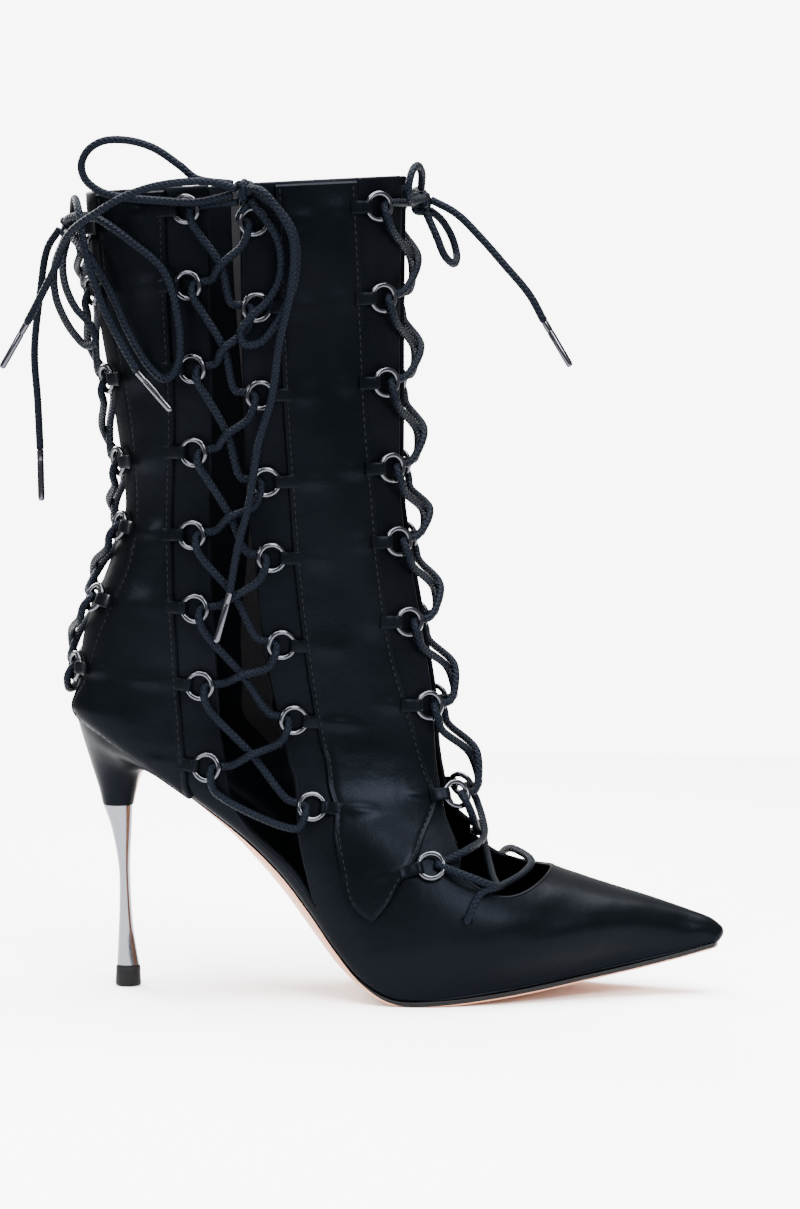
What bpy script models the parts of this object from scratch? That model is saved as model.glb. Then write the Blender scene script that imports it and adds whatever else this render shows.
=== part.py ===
"""Lace up stiletto ankle boot, right foot, as separate closed solids.

Metres, +Z up, +X to the toe, -Y to the outer (lateral) side. The origin is the middle of the
heel tip's floor face. The last is a fan of closed sections that turns from level at the collar
to upright at the toe; every panel is cut from that one form at its own distance from it.
"""
import math
from collections import namedtuple

import bmesh
import bpy
import numpy as np
from mathutils import Matrix, Vector

# Driving sizes of the last
FOOT_LENGTH = 0.2387
HEEL_SETBACK = 0.0182
HEEL_HEIGHT = 0.1055
SHAFT_HEIGHT = 0.1945
VAMP_HEIGHT = 0.046
TOE_SPRING = 0.017
BALL_WIDTH = 0.080
HEEL_WIDTH = 0.058
COLLAR_WIDTH = 0.070

# Leather, clearances and sole
CLEARANCE = 0.0003
OVERLAY_GAP = 0.0005
UPPER_WALL = 0.0018
OVERLAY_WALL = 0.0013
INSOLE_THICKNESS = 0.0022
SOLE_THICKNESS = 0.0030
SOLE_MARGIN = 0.0010
WAIST_CROWN = 0.0085

# Heel
HEEL_TIP_DIAMETER = 0.0096
TOP_PIECE_HEIGHT = 0.0075
PIN_TOP = 0.0677
PIN_BACK_OFFSET = 0.0082
PIN_DEPTH = 0.0086
HEEL_COVER_MARGIN = 0.0008

# Openings
BACK_GAP = 0.026
BACK_GAP_FLOOR = 0.1095
THROAT_LENGTH = 0.0520
THROAT_WIDTH = 0.066
THROAT_FRONT = 0.1588
THROAT_BACK = 0.1263
THROAT_SQUARENESS = 2.2
LACE_HOLE_DIAMETER = 0.0034
ZIP_SLIT = 0.0070

# Rings, tabs and laces
RING_DIAMETER = 0.0114
TAB_REACH = 0.0076
RING_WIRE = 0.0020
RING_LIFT = 0.0014
TAB_WIDTH = 0.0050
TAB_THICKNESS = 0.0011
TAB_STRIP = 0.0030
LACE_DIAMETER = 0.0024
LACE_LIFT = 0.0019
BACK_BULGE = 0.0020
SIDE_BULGE = 0.0016
FRONT_BULGE = 0.0050
AGLET_DIAMETER = 0.0030
AGLET_LENGTH = 0.0190
KNOT_GAP = 0.0007
CORD_STEP = 0.0068

# Counts
BOTTOM_STEPS = 2
LOWER_STEPS = 3
UPPER_STEPS = 7
RING_STEPS = 8
RING_SIDES = 3
THROAT_STEPS = 20

MILLIMETRE = 0.001
LAST_BASE = SOLE_THICKNESS + CLEARANCE
LATERAL = -1
MEDIAL = 1

Section = namedtuple("Section", (
    "low_x low_heel low_shaft top_x top_heel top_shaft top_vamp spring "
    "low_swing top_swing collar heel ball feather widest low_round"))

# One row for each section of the last, from the collar round the heel to the toe. x is a share
# of the foot length from the heel's back; heights are shares of the heel, shaft, vamp and toe
# spring; swing and widths are shares of half the ball, heel and collar widths; feather is the
# flat bottom's share of the width; widest is where along the section it is widest.
SECTIONS = [
    # low_x low_heel low_shaft top_x top_heel top_shaft vamp spring swings collar heel ball ...
    Section(.022, 1, .969, .520, 1, 1.00, 0, 0, 0, 0, 1.0, 0, 0, .26, .48, 2.1),
    Section(.036, 1, .784, .517, 1, .805, 0, 0, 0, 0, .97, 0, 0, .26, .48, 2.1),
    Section(.065, 1, .563, .517, 1, .568, 0, 0, 0, 0, .92, 0, 0, .27, .47, 2.1),
    Section(.081, 1, .383, .520, 1, .393, 0, 0, 0, 0, .57, .36, 0, .27, .45, 2.2),
    Section(.057, 1, .280, .539, 1, .260, 0, 0, 0, 0, .30, .68, 0, .27, .42, 2.3),
    Section(.018, 1, .152, .564, 1, .105, 0, 0, 0, 0, .10, .90, 0, .27, .38, 2.5),
    Section(.009, 1, .059, .581, 1, .003, 0, 0, 0, 0, 0, 1.0, 0, .27, .34, 2.6),
    Section(.000, 1, 0, .594, .872, 0, 0, 0, 0, 0, 0, 1.0, 0, .28, .32, 2.7),
    Section(.051, .918, 0, .606, .768, 0, 0, 0, 0, 0, 0, 1.02, 0, .66, .32, 2.6),
    Section(.118, .811, 0, .619, .692, 0, 0, 0, -.012, 0, 0, 1.03, 0, .78, .34, 2.4),
    Section(.194, .690, 0, .636, .630, 0, 0, 0, -.038, .012, 0, .50, .41, .76, .38, 2.2),
    Section(.269, .558, 0, .656, .576, 0, 0, 0, -.070, .020, 0, .25, .63, .70, .42, 2.0),
    Section(.328, .428, 0, .677, .529, 0, 0, 0, -.105, .025, 0, 0, .85, .67, .45, 2.0),
    Section(.374, .295, 0, .696, .493, 0, 0, 0, -.130, .030, 0, 0, .89, .68, .45, 2.0),
    Section(.416, .163, 0, .721, 0, 0, 1.065, 0, -.138, .038, 0, 0, .93, .74, .45, 2.0),
    Section(.457, .061, 0, .747, 0, 0, 1.000, 0, -.130, .045, 0, 0, .96, .81, .42, 2.0),
    Section(.508, 0, 0, .778, 0, 0, .946, 0, -.100, .055, 0, 0, .95, .92, .38, 2.0),
    Section(.575, 0, 0, .811, 0, 0, .891, 0, -.045, .065, 0, 0, .89, 1.03, .30, 2.0),
    Section(.646, 0, 0, .847, 0, 0, .793, .10, .012, .075, 0, 0, .78, 1.10, .30, 2.0),
    Section(.721, 0, 0, .883, 0, 0, .675, .25, .055, .085, 0, 0, .62, 1.14, .30, 2.0),
    Section(.801, 0, 0, .918, 0, 0, .529, .45, .088, .095, 0, 0, .43, 1.16, .30, 2.0),
    Section(.876, 0, 0, .952, 0, 0, .382, .65, .105, .105, 0, 0, .275, 1.18, .30, 2.0),
    Section(.939, 0, 0, .979, 0, 0, .242, .85, .112, .112, 0, 0, .18, 1.12, .36, 2.0),
    Section(.982, 0, 0, .997, 0, 0, .126, 1.0, .115, .115, 0, 0, .11, 1.05, .45, 2.0),
]
SEAT_ROW = 7
BREAST_ROW = 10
BALL_ROW = 16
TOE_ROW = 22
TIP_ROW = 23

# Where the solids have their sections: closer together where the shaft bends
STATIONS = [0, 1, 2, 2.5, 3, 3.5, 4, 5, 6, 7, 7.5, 8, 9, 10, 11, 12] + list(range(13, TIP_ROW + 1))

# Panel edges on the outer side, one row for each section from the collar down: shares of the way
# from the section's back or bottom (0) to its front or top (1).
Edges = namedtuple("Edges", "quarter_back quarter_front gap_rear gap_front leaf_rear leaf_front")
EDGES = [
    Edges(.053, .277, .405, .511, .607, .850),
    Edges(.053, .264, .389, .502, .609, .865),
    Edges(.065, .234, .353, .476, .599, .872),
    Edges(.054, .194, .316, .464, .600, .886),
    Edges(.075, .228, .341, .496, .610, .877),
    Edges(.053, .282, .383, .531, .634, .880),
    Edges(.026, .292, .388, .550, .641, .895),
    Edges(.012, .303, .395, .565, .650, .905),
    Edges(.004, .238, .339, .529, .623, .899),
    Edges(.004, .139, .253, .474, .566, .890),
    Edges(.004, .012, .136, .373, .494, .829),
    Edges(0, 0, .055, .242, .376, .726),
    Edges(0, 0, .060, .130, .277, .604),
    Edges(0, 0, .040, .050, .200, .420),
    Edges(0, 0, .040, .050, .205, .235),
]
QUARTER_END = 9.9
GAP_END = 12.9
LEAF_END = 13.9

# Rows of rings: sections that each ring lies at, counted from the collar
BACK_RINGS = [.42, .97, 1.71, 2.48, 3.33, 4.55, 5.75]
SIDE_REAR_RINGS = [.28, .95, 1.63, 2.38, 3.43, 4.55, 5.85, 8.75]
SIDE_FRONT_RINGS = [.43, 1.16, 1.85, 2.70, 3.80, 4.96, 6.53, 9.90]
FRONT_RINGS = [.34, 1.12, 1.77, 2.59, 3.56, 4.60, 5.98, 8.98, 12.3]
BACK_STRIP_END = 6
SIDE_REAR_STRIP_END = 9
SIDE_FRONT_STRIP_END = 10
FRONT_STRIP_END = 13

# The front opening's half width at heights, as it widens down into the throat
FRONT_SLOT = [(.010, .112), (.0108, .102), (.013, .0855), (.0155, .0745), (.020, .065),
              (.0255, .0555)]

# The lace holes in the vamp: section and share; and the lowest front strands, in millimetres:
# where a crossing passes the throat's edge, the bar below the last rings, the bar between holes
LACE_HOLE = (14.8, .58)
THROAT_EDGE = (128.8, 29.0, 56.2)
FRONT_BAR = [(131.2, -36.2, 47.0), (138.9, -32.0, 43.6), (137.0, -14.0, 45.0), (133.5, 6.0, 48.5),
             (130.5, 20.0, 53.0), (128.0, 30.4, 55.0)]
VAMP_BAR = [(134.6, -35.8, 41.6), (139.5, -32.0, 43.0), (142.0, -22.0, 42.8), (148.0, -9.0, 45.0),
            (150.3, 5.0, 47.6), (144.8, 18.0, 47.0), (138.6, 29.0, 46.6), (134.0, 35.4, 43.0)]

# The zip's line on the inner side, as a share of each section, and its slider and pull
ZIP_LINE = .455
ZIP_END = 8.5
SLIDER_PLACE = 0.16
SLIDER_WIDTH = 0.0062
SLIDER_LENGTH = 0.0100
SLIDER_PLATE = 0.0014
PIVOT_HEIGHT = 0.0021
PIVOT_DIAMETER = 0.0010
LUG_WIDTH = 0.0009
EYE_DIAMETER = 0.0034
EYE_WIDTH = 0.0022
EYE_BORE = 0.0017
PULL_LENGTH = 0.0200
PULL_WIDTH = 0.0050
PULL_THICKNESS = 0.0012

# The bows: knots as middle and half sizes, and the routes of their loops and ends, chosen by
# hand in millimetres. A route's first row, and a loop's last, only point the way out of the knot.
# An end carries its aglet, which points at the last row.
KNOTS = {
    "side": ((49.0, -38.1, 295.5), (4.2, 3.0, 4.4)),
    "back": ((-20.0, -3.0, 282.0), (3.4, 4.2, 4.6)),
    "front": ((109.5, -0.5, 291.0), (3.4, 4.4, 4.8)),
}
LEADS = {
    "side": ((45.5, -37.1, 290.0), (50.2, -38.0, 289.5)),
    "back": ((-15.3, 9.5, 281.5), (-15.3, -9.5, 281.5)),
    "front": ((101.8, -16.5, 289.9), (101.8, 16.5, 289.9)),
}
LOOPS = {
    "side_lace_rear_loop": [
        (43.6, -39.2, 298.3), (32.1, -40.2, 299.6), (26.0, -40.6, 304.3), (16.5, -40.8, 310.6),
        (7.0, -40.6, 313.3), (-2.0, -40.0, 313.0), (-7.6, -39.2, 309.6), (-10.0, -38.4, 304.6),
        (-8.8, -37.6, 299.5), (-3.7, -37.2, 295.2), (4.8, -37.6, 292.9), (16.9, -38.6, 291.8),
        (32.0, -39.4, 291.2), (43.4, -39.2, 293.4)],
    "side_lace_front_loop": [
        (54.6, -39.6, 294.4), (62.1, -40.4, 288.0), (67.2, -40.6, 279.9), (68.3, -40.6, 271.7),
        (67.2, -40.4, 262.1), (64.6, -40.2, 254.9), (59.6, -40.0, 246.0), (54.4, -39.9, 240.6),
        (49.4, -39.9, 240.2), (47.6, -39.9, 244.2), (51.0, -39.9, 249.5), (57.2, -39.9, 255.4),
        (61.4, -39.9, 262.5), (62.4, -39.9, 271.4), (60.4, -39.9, 279.4), (56.6, -39.9, 285.2),
        (53.8, -39.8, 288.6), (52.8, -40.0, 290.5)],
    "back_lace_outer_loop": [
        (-20.4, -8.4, 284.4), (-17.5, -17.5, 285.6), (-11.0, -25.0, 286.4), (-4.7, -29.8, 284.8),
        (8.3, -34.5, 276.3), (19.7, -37.4, 266.4), (24.9, -38.6, 249.3), (24.9, -38.0, 233.5),
        (20.3, -36.6, 227.3), (13.9, -34.4, 231.7), (5.9, -31.8, 244.4), (-0.6, -29.8, 258.1),
        (-8.5, -25.8, 270.5), (-15.5, -17.6, 277.0), (-20.2, -8.8, 279.6)],
    "back_lace_inner_loop": [
        (-22.6, -1.5, 276.6), (-25.6, -2.5, 268.0), (-25.0, -6.0, 257.5), (-20.8, -12.5, 249.0),
        (-15.6, -19.5, 242.8), (-10.4, -25.0, 239.0), (-6.6, -28.6, 240.8), (-8.4, -28.0, 246.4),
        (-14.6, -23.6, 252.6), (-19.6, -16.6, 261.0), (-21.4, -10.4, 269.6), (-20.6, -6.0, 276.0)],
    "front_lace_upper_loop": [
        (109.8, -2.6, 297.0), (110.4, -7.0, 301.6), (109.4, -13.6, 304.4), (107.8, -19.4, 302.0),
        (106.8, -21.4, 296.6), (107.2, -17.6, 291.8), (109.6, -12.0, 292.0), (111.0, -6.4, 293.2)],
    "front_lace_lower_loop": [
        (112.4, -3.4, 285.8), (115.8, -6.0, 278.5), (118.6, -6.2, 271.8), (121.6, -2.2, 268.6),
        (122.4, 3.4, 271.4), (120.6, 5.2, 278.0), (116.8, 3.4, 284.6), (113.6, 1.6, 287.4)],
}
ENDS = {
    "side_lace_rear_end": [
        (44.6, -42.2, 296.4), (37.9, -43.2, 298.4), (26.8, -43.8, 298.3), (15.4, -43.8, 296.4),
        (5.8, -43.0, 293.0), (-3.5, -41.5, 287.7), (-13.7, -37.0, 281.0), (-18.5, -32.0, 274.3),
        (-21.9, -28.0, 266.5), (-27.6, -25.0, 256.3), (-32.6, -23.4, 247.4), (-39.8, -22.4, 235.1)],
    "side_lace_front_end": [
        (52.0, -43.1, 296.5), (56.4, -45.2, 295.0), (66.2, -44.2, 281.0), (67.5, -44.2, 272.0),
        (66.5, -44.0, 261.0), (64.6, -43.6, 251.6), (62.1, -42.2, 241.5), (58.8, -39.6, 220.6),
        (54.0, -38.4, 204.7), (50.2, -37.6, 182.4), (46.2, -37.6, 166.6), (43.2, -37.2, 150.7),
        (37.3, -36.8, 128.8)],
    "back_lace_outer_end": [
        (-17.6, -6.4, 287.5), (-15.8, -17.6, 292.4), (-12.4, -29.6, 288.0), (-9.0, -34.4, 272.0),
        (-2.8, -35.4, 253.4), (4.7, -36.0, 238.8), (9.6, -36.8, 230.4), (19.2, -38.4, 219.7)],
    "back_lace_inner_end": [
        (-24.4, -2.0, 281.0), (-28.6, -1.0, 274.0), (-31.5, 0.0, 258.0), (-34.0, 1.0, 236.0),
        (-33.0, 1.5, 218.0), (-32.2, 1.5, 200.0), (-31.8, 1.5, 179.0)],
    "front_lace_outer_end": [
        (113.8, -1.6, 292.0), (122.6, -2.4, 287.0), (131.5, -3.4, 278.4), (140.4, -4.4, 268.4),
        (149.6, -5.4, 257.6), (155.0, -6.0, 248.0), (164.2, -7.0, 232.6)],
    "front_lace_inner_end": [
        (110.4, 4.6, 295.4), (106.6, 12.0, 295.2), (101.6, 20.0, 290.0), (96.8, 26.4, 281.0),
        (91.0, 31.0, 267.0), (86.6, 33.4, 252.0), (83.6, 34.6, 236.0), (82.0, 35.0, 219.0),
        (81.0, 34.6, 202.0)],
}

LEATHER = ("black_leather", (0.012, 0.012, 0.014, 1), 0.42, 0.0)
SOLE_LEATHER = ("nude_sole", (0.56, 0.32, 0.22, 1), 0.45, 0.0)
LINING = ("insole_lining", (0.10, 0.09, 0.08, 1), 0.7, 0.0)
CHROME = ("chrome", (0.75, 0.76, 0.78, 1), 0.15, 1.0)
GUNMETAL = ("ring_metal", (0.35, 0.36, 0.38, 1), 0.25, 1.0)
RUBBER = ("black_rubber", (0.015, 0.015, 0.015, 1), 0.6, 0.0)
CORD = ("black_cord", (0.010, 0.012, 0.018, 1), 0.5, 0.0)


def start_scene():
    """Empty the scene and return the collections for the parts and for the cutters."""
    for obj in list(bpy.data.objects):
        bpy.data.objects.remove(obj, do_unlink=True)
    folders = []
    for name in ("lace_up_ankle_boot", "cutters"):
        folder = bpy.data.collections.new(name)
        bpy.context.scene.collection.children.link(folder)
        folders.append(folder)
    return folders


PARTS, CUTTERS = start_scene()


def material(look):
    """Return the Principled material of a look: name, colour, roughness, metallic."""
    name, colour, roughness, metallic = look
    made = bpy.data.materials.get(name) or bpy.data.materials.new(name)
    made.use_nodes = True
    shader = made.node_tree.nodes["Principled BSDF"]
    shader.inputs["Base Color"].default_value = colour
    shader.inputs["Roughness"].default_value = roughness
    shader.inputs["Metallic"].default_value = metallic
    return made


def add_object(name, mesh, look=None, smooth=True):
    """Put a mesh in the parts with its look, or in the cutters without one."""
    obj = bpy.data.objects.new(name, mesh)
    if smooth:
        mesh.shade_smooth()
        mesh.set_sharp_from_angle(angle=math.radians(35))
    if look is None:
        CUTTERS.objects.link(obj)
        obj.hide_render = True
        obj.display_type = "WIRE"
    else:
        PARTS.objects.link(obj)
        mesh.materials.append(material(look))
    return obj


def closed_mesh(name, points, faces):
    """Make a mesh from points and faces and turn its faces outwards."""
    mesh = bpy.data.meshes.new(name)
    mesh.from_pydata([tuple(p) for p in points], [], faces)
    shape = bmesh.new()
    shape.from_mesh(mesh)
    bmesh.ops.remove_doubles(shape, verts=shape.verts, dist=1e-6)
    bmesh.ops.triangulate(shape, faces=shape.faces)
    bmesh.ops.recalc_face_normals(shape, faces=shape.faces)
    shape.to_mesh(mesh)
    shape.free()
    return mesh


def loft(name, rings):
    """Join closed rings of equally many points and cap both ends."""
    rings = np.asarray(rings)
    count, around = rings.shape[:2]
    faces = []
    for i in range(count - 1):
        for j in range(around):
            k = (j + 1) % around
            faces.append((i * around + j, i * around + k, (i + 1) * around + k, (i + 1) * around + j))
    faces.append(tuple(range(around)))
    faces.append(tuple((count - 1) * around + j for j in range(around)))
    return closed_mesh(name, rings.reshape(-1, 3), faces)


def combine(obj, other, operation):
    """Cut, join or intersect an object with another by an exact Boolean."""
    step = obj.modifiers.new(other.name, "BOOLEAN")
    step.object = other
    step.operation = operation
    step.solver = "EXACT"


def blend_rows(rows, place):
    """Read a table between its rows on a smooth curve (Catmull-Rom) at a fractional row."""
    last = len(rows) - 1
    i = min(int(place), last - 1)
    t = place - i
    before = np.array(rows[max(i - 1, 0)], float)
    here = np.array(rows[i], float)
    after = np.array(rows[i + 1], float)
    beyond = np.array(rows[min(i + 2, last)], float)
    return 0.5 * (2 * here + (after - before) * t
                  + (2 * before - 5 * here + 4 * after - beyond) * t ** 2
                  + (3 * here - before - 3 * after + beyond) * t ** 3)


def line_ends(row):
    """Low and top end of a section's middle line, as x and z."""
    rise = HEEL_HEIGHT - LAST_BASE
    low = np.array([
        FOOT_LENGTH * row.low_x - HEEL_SETBACK,
        LAST_BASE + rise * row.low_heel + SHAFT_HEIGHT * row.low_shaft + TOE_SPRING * row.spring])
    top = np.array([
        FOOT_LENGTH * row.top_x - HEEL_SETBACK,
        HEEL_HEIGHT * row.top_heel + SHAFT_HEIGHT * row.top_shaft + VAMP_HEIGHT * row.top_vamp
        + TOE_SPRING * row.spring])
    return low, top


def line_normals(place, low, top):
    """Unit normals of the last's profile at a section's two ends, pointing out of the last."""
    step = 0.05
    ahead = line_ends(Section(*blend_rows(SECTIONS, min(place + step, TIP_ROW))))
    behind = line_ends(Section(*blend_rows(SECTIONS, max(place - step, 0))))
    normals = []
    for after, before, inwards in ((ahead[0], behind[0], top - low), (ahead[1], behind[1], low - top)):
        tangent = (after - before) / np.linalg.norm(after - before)
        normal = np.array([-tangent[1], tangent[0]])
        normals.append(normal if normal @ inwards < 0 else -normal)
    return normals


def section_at(place, offset=0.0):
    """Return the section of the last at a fractional row as real sizes, grown by an offset."""
    row = Section(*blend_rows(SECTIONS, place))
    low, top = line_ends(row)
    low_normal, top_normal = line_normals(place, low, top)
    low = low + low_normal * offset
    top = top + top_normal * offset
    half = (COLLAR_WIDTH * row.collar + HEEL_WIDTH * row.heel + BALL_WIDTH * row.ball) / 2
    swing = np.array([row.low_swing, row.top_swing]) * BALL_WIDTH / 2
    return low, top, half + offset, half * row.feather + offset, swing, row.widest, row.low_round


def form_point(place, share, side, offset=0.0):
    """Point of the last, or of it grown by an offset, a share of the way up a section's side.

    Below the widest share the half width grows from the feather's on a superellipse, and above
    it the half width closes to nothing on an ellipse.
    """
    low, top, half, feather, swing, widest, roundness = section_at(place, offset)
    share = min(max(share, 0.0), 1.0)
    if share < widest:
        fill = (1 - (1 - share / widest) ** roundness) ** (1 / roundness)
        reach = feather + (half - feather) * fill
    else:
        reach = half * math.sqrt(max(0.0, 1 - ((share - widest) / (1 - widest)) ** 2))
    x, z = low + (top - low) * share
    y = swing[0] + (swing[1] - swing[0]) * share + side * reach
    return np.array([x, y, z])


def ring_shares(widest, roundness):
    """Shares of the way up a section for the points of its side, evenly spread by angle."""
    lower = [widest * (1 - math.cos(math.pi / 2 * i / LOWER_STEPS) ** (2 / roundness))
             for i in range(LOWER_STEPS)]
    upper = [widest + (1 - widest) * math.sin(math.pi / 2 * i / UPPER_STEPS)
             for i in range(UPPER_STEPS + 1)]
    return lower + upper


def section_ring(place, offset):
    """Closed ring of points round the last at a section, from the middle of its low end."""
    low, top, half, feather, swing, widest, roundness = section_at(place, offset)
    side_points = []
    for side in (LATERAL, MEDIAL):
        flat = [np.array([low[0], swing[0] + side * feather * i / BOTTOM_STEPS, low[1]])
                for i in range(BOTTOM_STEPS)]
        flank = [form_point(place, share, side, offset) for share in ring_shares(widest, roundness)]
        side_points.append(flat + flank)
    lateral, medial = side_points
    return np.array(lateral + medial[-2:0:-1])


def outward(place, share, side):
    """Unit normal of the last at a point of its flank."""
    step = 0.02
    ahead = form_point(min(place + step, TIP_ROW), share, side)
    behind = form_point(max(place - step, 0), share, side)
    above = form_point(place, min(share + step, 0.999), side)
    below = form_point(place, max(share - step, 0.001), side)
    normal = np.cross(ahead - behind, above - below)
    normal /= np.linalg.norm(normal)
    return normal if normal[1] * side > 0 else -normal


def form_rings(places, offset):
    """Rings of the last at the given sections, grown by an offset."""
    return np.array([section_ring(place, offset) for place in places])


def half_feather(place):
    """Middle point, half width and swing of the last's flat bottom at a section."""
    low, _, _, feather, swing, _, _ = section_at(place)
    return low[0], low[1], feather, swing[0]


def bottom_slab(name, places, inset, under, over):
    """Closed slab along the last's bottom: its outline less an inset, from under to over it."""
    rings = []
    for place in places:
        x, z, feather, swing = half_feather(place)
        reach = max(feather - inset, 0.0008)
        corners = [(-reach, -under), (0, -under), (reach, -under), (reach, over), (0, over), (-reach, over)]
        rings.append([(x, swing + y, z + rise) for y, rise in corners])
    return loft(name, rings)


def edge_share(column, place):
    """Share of a panel edge of the table at a fractional section."""
    return float(blend_rows(EDGES, min(place, len(EDGES) - 1))[Edges._fields.index(column)])


def share_angle(place, share):
    """Angle from 0 to 1 that spreads shares evenly round a section's flank."""
    _, _, _, _, _, widest, roundness = section_at(place)
    if share < widest:
        return math.acos((1 - max(share, 0) / widest) ** (roundness / 2)) / math.pi
    return 0.5 + math.asin(min((share - widest) / (1 - widest), 1)) / math.pi


def angle_share(place, angle):
    """Share at an angle from 0 to 1, the opposite of share_angle."""
    _, _, _, _, _, widest, roundness = section_at(place)
    if angle < 0.5:
        return widest * (1 - math.cos(math.pi * angle) ** (2 / roundness))
    return widest + (1 - widest) * math.sin(math.pi * (angle - 0.5))


def panel(name, places, near, far, side, inner, outer, across, look=None):
    """Closed curved plate between two edges, from an inner to an outer distance off the last.

    near and far are functions that give each edge's share at a section.
    """
    layers = []
    for distance in (inner, outer):
        rows = []
        for place in places:
            start = share_angle(place, near(place))
            end = share_angle(place, far(place))
            row = []
            for i in range(across + 1):
                share = angle_share(place, start + (end - start) * i / across)
                row.append(form_point(place, share, side, distance))
            rows.append(row)
        layers.append(rows)
    inside, outside = np.array(layers)
    rings = [list(low) + list(high[::-1]) for low, high in zip(inside, outside)]
    return add_object(name, loft(name, rings), look)


def places_between(start, end):
    """The solids' own stations between two sections, with both ends."""
    return [start] + [p for p in STATIONS if start + 0.05 < p < end - 0.05] + [end]


def make_upper():
    """Hollow leather upper with its back, side, front, throat, zip and underside openings."""
    upper = add_object("upper", loft("upper", form_rings(STATIONS, 0)), LEATHER)
    inner_places = [p for p in STATIONS if p <= TOE_ROW]
    inner_rings = form_rings(inner_places, -UPPER_WALL)
    lift = (inner_rings[0] - inner_rings[1]) * 0.25
    inner_rings = np.concatenate([[inner_rings[0] + lift], inner_rings])
    combine(upper, add_object("cavity", loft("cavity", inner_rings)), "DIFFERENCE")

    open_places = [SEAT_ROW + 0.4, SEAT_ROW + 0.7] + list(range(SEAT_ROW + 1, TOE_ROW))
    opening = bottom_slab("lasting_opening", open_places, UPPER_WALL * 0.9, 0.006, 0.006)
    combine(upper, add_object("lasting_opening", opening), "DIFFERENCE")

    for cutter in (back_slot(), front_slot(), throat_cutter()):
        combine(upper, cutter, "DIFFERENCE")
    side_gap = panel("side_gap", places_between(0, GAP_END), lambda p: edge_share("gap_rear", p),
                     lambda p: edge_share("gap_front", p), LATERAL, -0.006, 0.006, 3)
    combine(upper, side_gap, "DIFFERENCE")
    slit = panel("zip_slit", places_between(0, ZIP_END), zip_edge(-ZIP_SLIT / 2),
                 zip_edge(ZIP_SLIT / 2), MEDIAL, -0.006, 0.006, 2)
    combine(upper, slit, "DIFFERENCE")
    raise_top(side_gap)
    raise_top(slit)
    for side in (LATERAL, MEDIAL):
        frame = flank_frame(*LACE_HOLE, side, 0)
        hole = rod_mesh(LACE_HOLE_DIAMETER, 0.012, 10, frame)
        combine(upper, add_object("lace_hole", hole, smooth=False), "DIFFERENCE")
    return upper


def raise_top(cutter):
    """Lift a cutter's end at the collar so that it leaves the wall open there."""
    ceiling = max(v.co.z for v in cutter.data.vertices)
    for vertex in cutter.data.vertices:
        if vertex.co.z > ceiling - 0.006:
            vertex.co.z += 0.008


def zip_edge(offset):
    """Function of a section that gives the share of a line beside the zip's middle."""
    def share(place):
        low, top, _, _, _, _, _ = section_at(place)
        return ZIP_LINE + offset / np.linalg.norm(top - low)
    return share


def back_slot():
    """Cutter of the laced back opening: a slot with a round foot."""
    low, top, _, _, _, _, _ = section_at(0)
    ceiling = max(low[1], top[1]) + 0.02
    half = BACK_GAP / 2
    foot = BACK_GAP_FLOOR + half
    outline = [(-half, ceiling), (half, ceiling)]
    outline += [(half * math.cos(a), foot - half * math.sin(a))
                for a in (math.pi * i / 8 for i in range(9))]
    middle = (low[0] + top[0]) / 2
    rings = [[(x, y, z) for y, z in outline] for x in (-HEEL_SETBACK - 0.03, middle)]
    return add_object("back_slot", loft("back_slot", rings), smooth=False)


def front_slot():
    """Cutter of the laced front opening above the throat."""
    low, top, _, _, _, _, _ = section_at(0)
    ceiling = max(low[1], top[1]) + 0.02
    middle = (low[0] + top[0]) / 2
    edge = [(FRONT_SLOT[0][0], ceiling)] + FRONT_SLOT
    outline = edge + [(-half, z) for half, z in edge[::-1]]
    rings = [[(x, y, z) for y, z in outline] for x in (middle, THROAT_FRONT + 0.02)]
    return add_object("front_slot", loft("front_slot", rings), smooth=False)


def throat_outline(z):
    """Outline of the throat seen from above, at a height: a superellipse with a straight back."""
    swing = section_at(BREAST_ROW + 3)[4][1]
    points = []
    for i in range(THROAT_STEPS):
        a = 2 * math.pi * i / THROAT_STEPS
        power = 2 / THROAT_SQUARENESS
        x = math.copysign(abs(math.cos(a)) ** power, math.cos(a)) * THROAT_LENGTH / 2
        x = max(x, THROAT_BACK - THROAT_FRONT + THROAT_LENGTH / 2)
        y = math.copysign(abs(math.sin(a)) ** power, math.sin(a)) * THROAT_WIDTH / 2
        points.append((THROAT_FRONT - THROAT_LENGTH / 2 + x, swing + y, z))
    return points


def throat_cutter():
    """Cutter of the throat: an upright prism through the vamp's roof."""
    floor_z = section_at(BREAST_ROW + 4)[1][1] * 0.45
    ceiling = FRONT_SLOT[-1][1] + 0.015
    rings = [throat_outline(floor_z), throat_outline(ceiling)]
    return add_object("throat", loft("throat", rings), smooth=False)


def make_insole():
    """Insole that fills the upper's underside, from the seat to the toe."""
    places = [SEAT_ROW + 0.5, SEAT_ROW + 0.75] + list(range(SEAT_ROW + 1, TOE_ROW - 1)) + [TOE_ROW - 1.3]
    inset = UPPER_WALL * 0.9 + CLEARANCE
    mesh = bottom_slab("insole", places, inset, 0.0, INSOLE_THICKNESS)
    return add_object("insole", mesh, LINING)


def crown_depth(place):
    """Depth of the sole's waist at a section: nothing at heel and ball, most between them."""
    share = (place - BREAST_ROW) / (BALL_ROW - BREAST_ROW)
    if share >= 1:
        return 0.0
    return WAIST_CROWN * max(0.22, math.sin(math.pi * min(max(share, 0.0), 1.0)))


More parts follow.
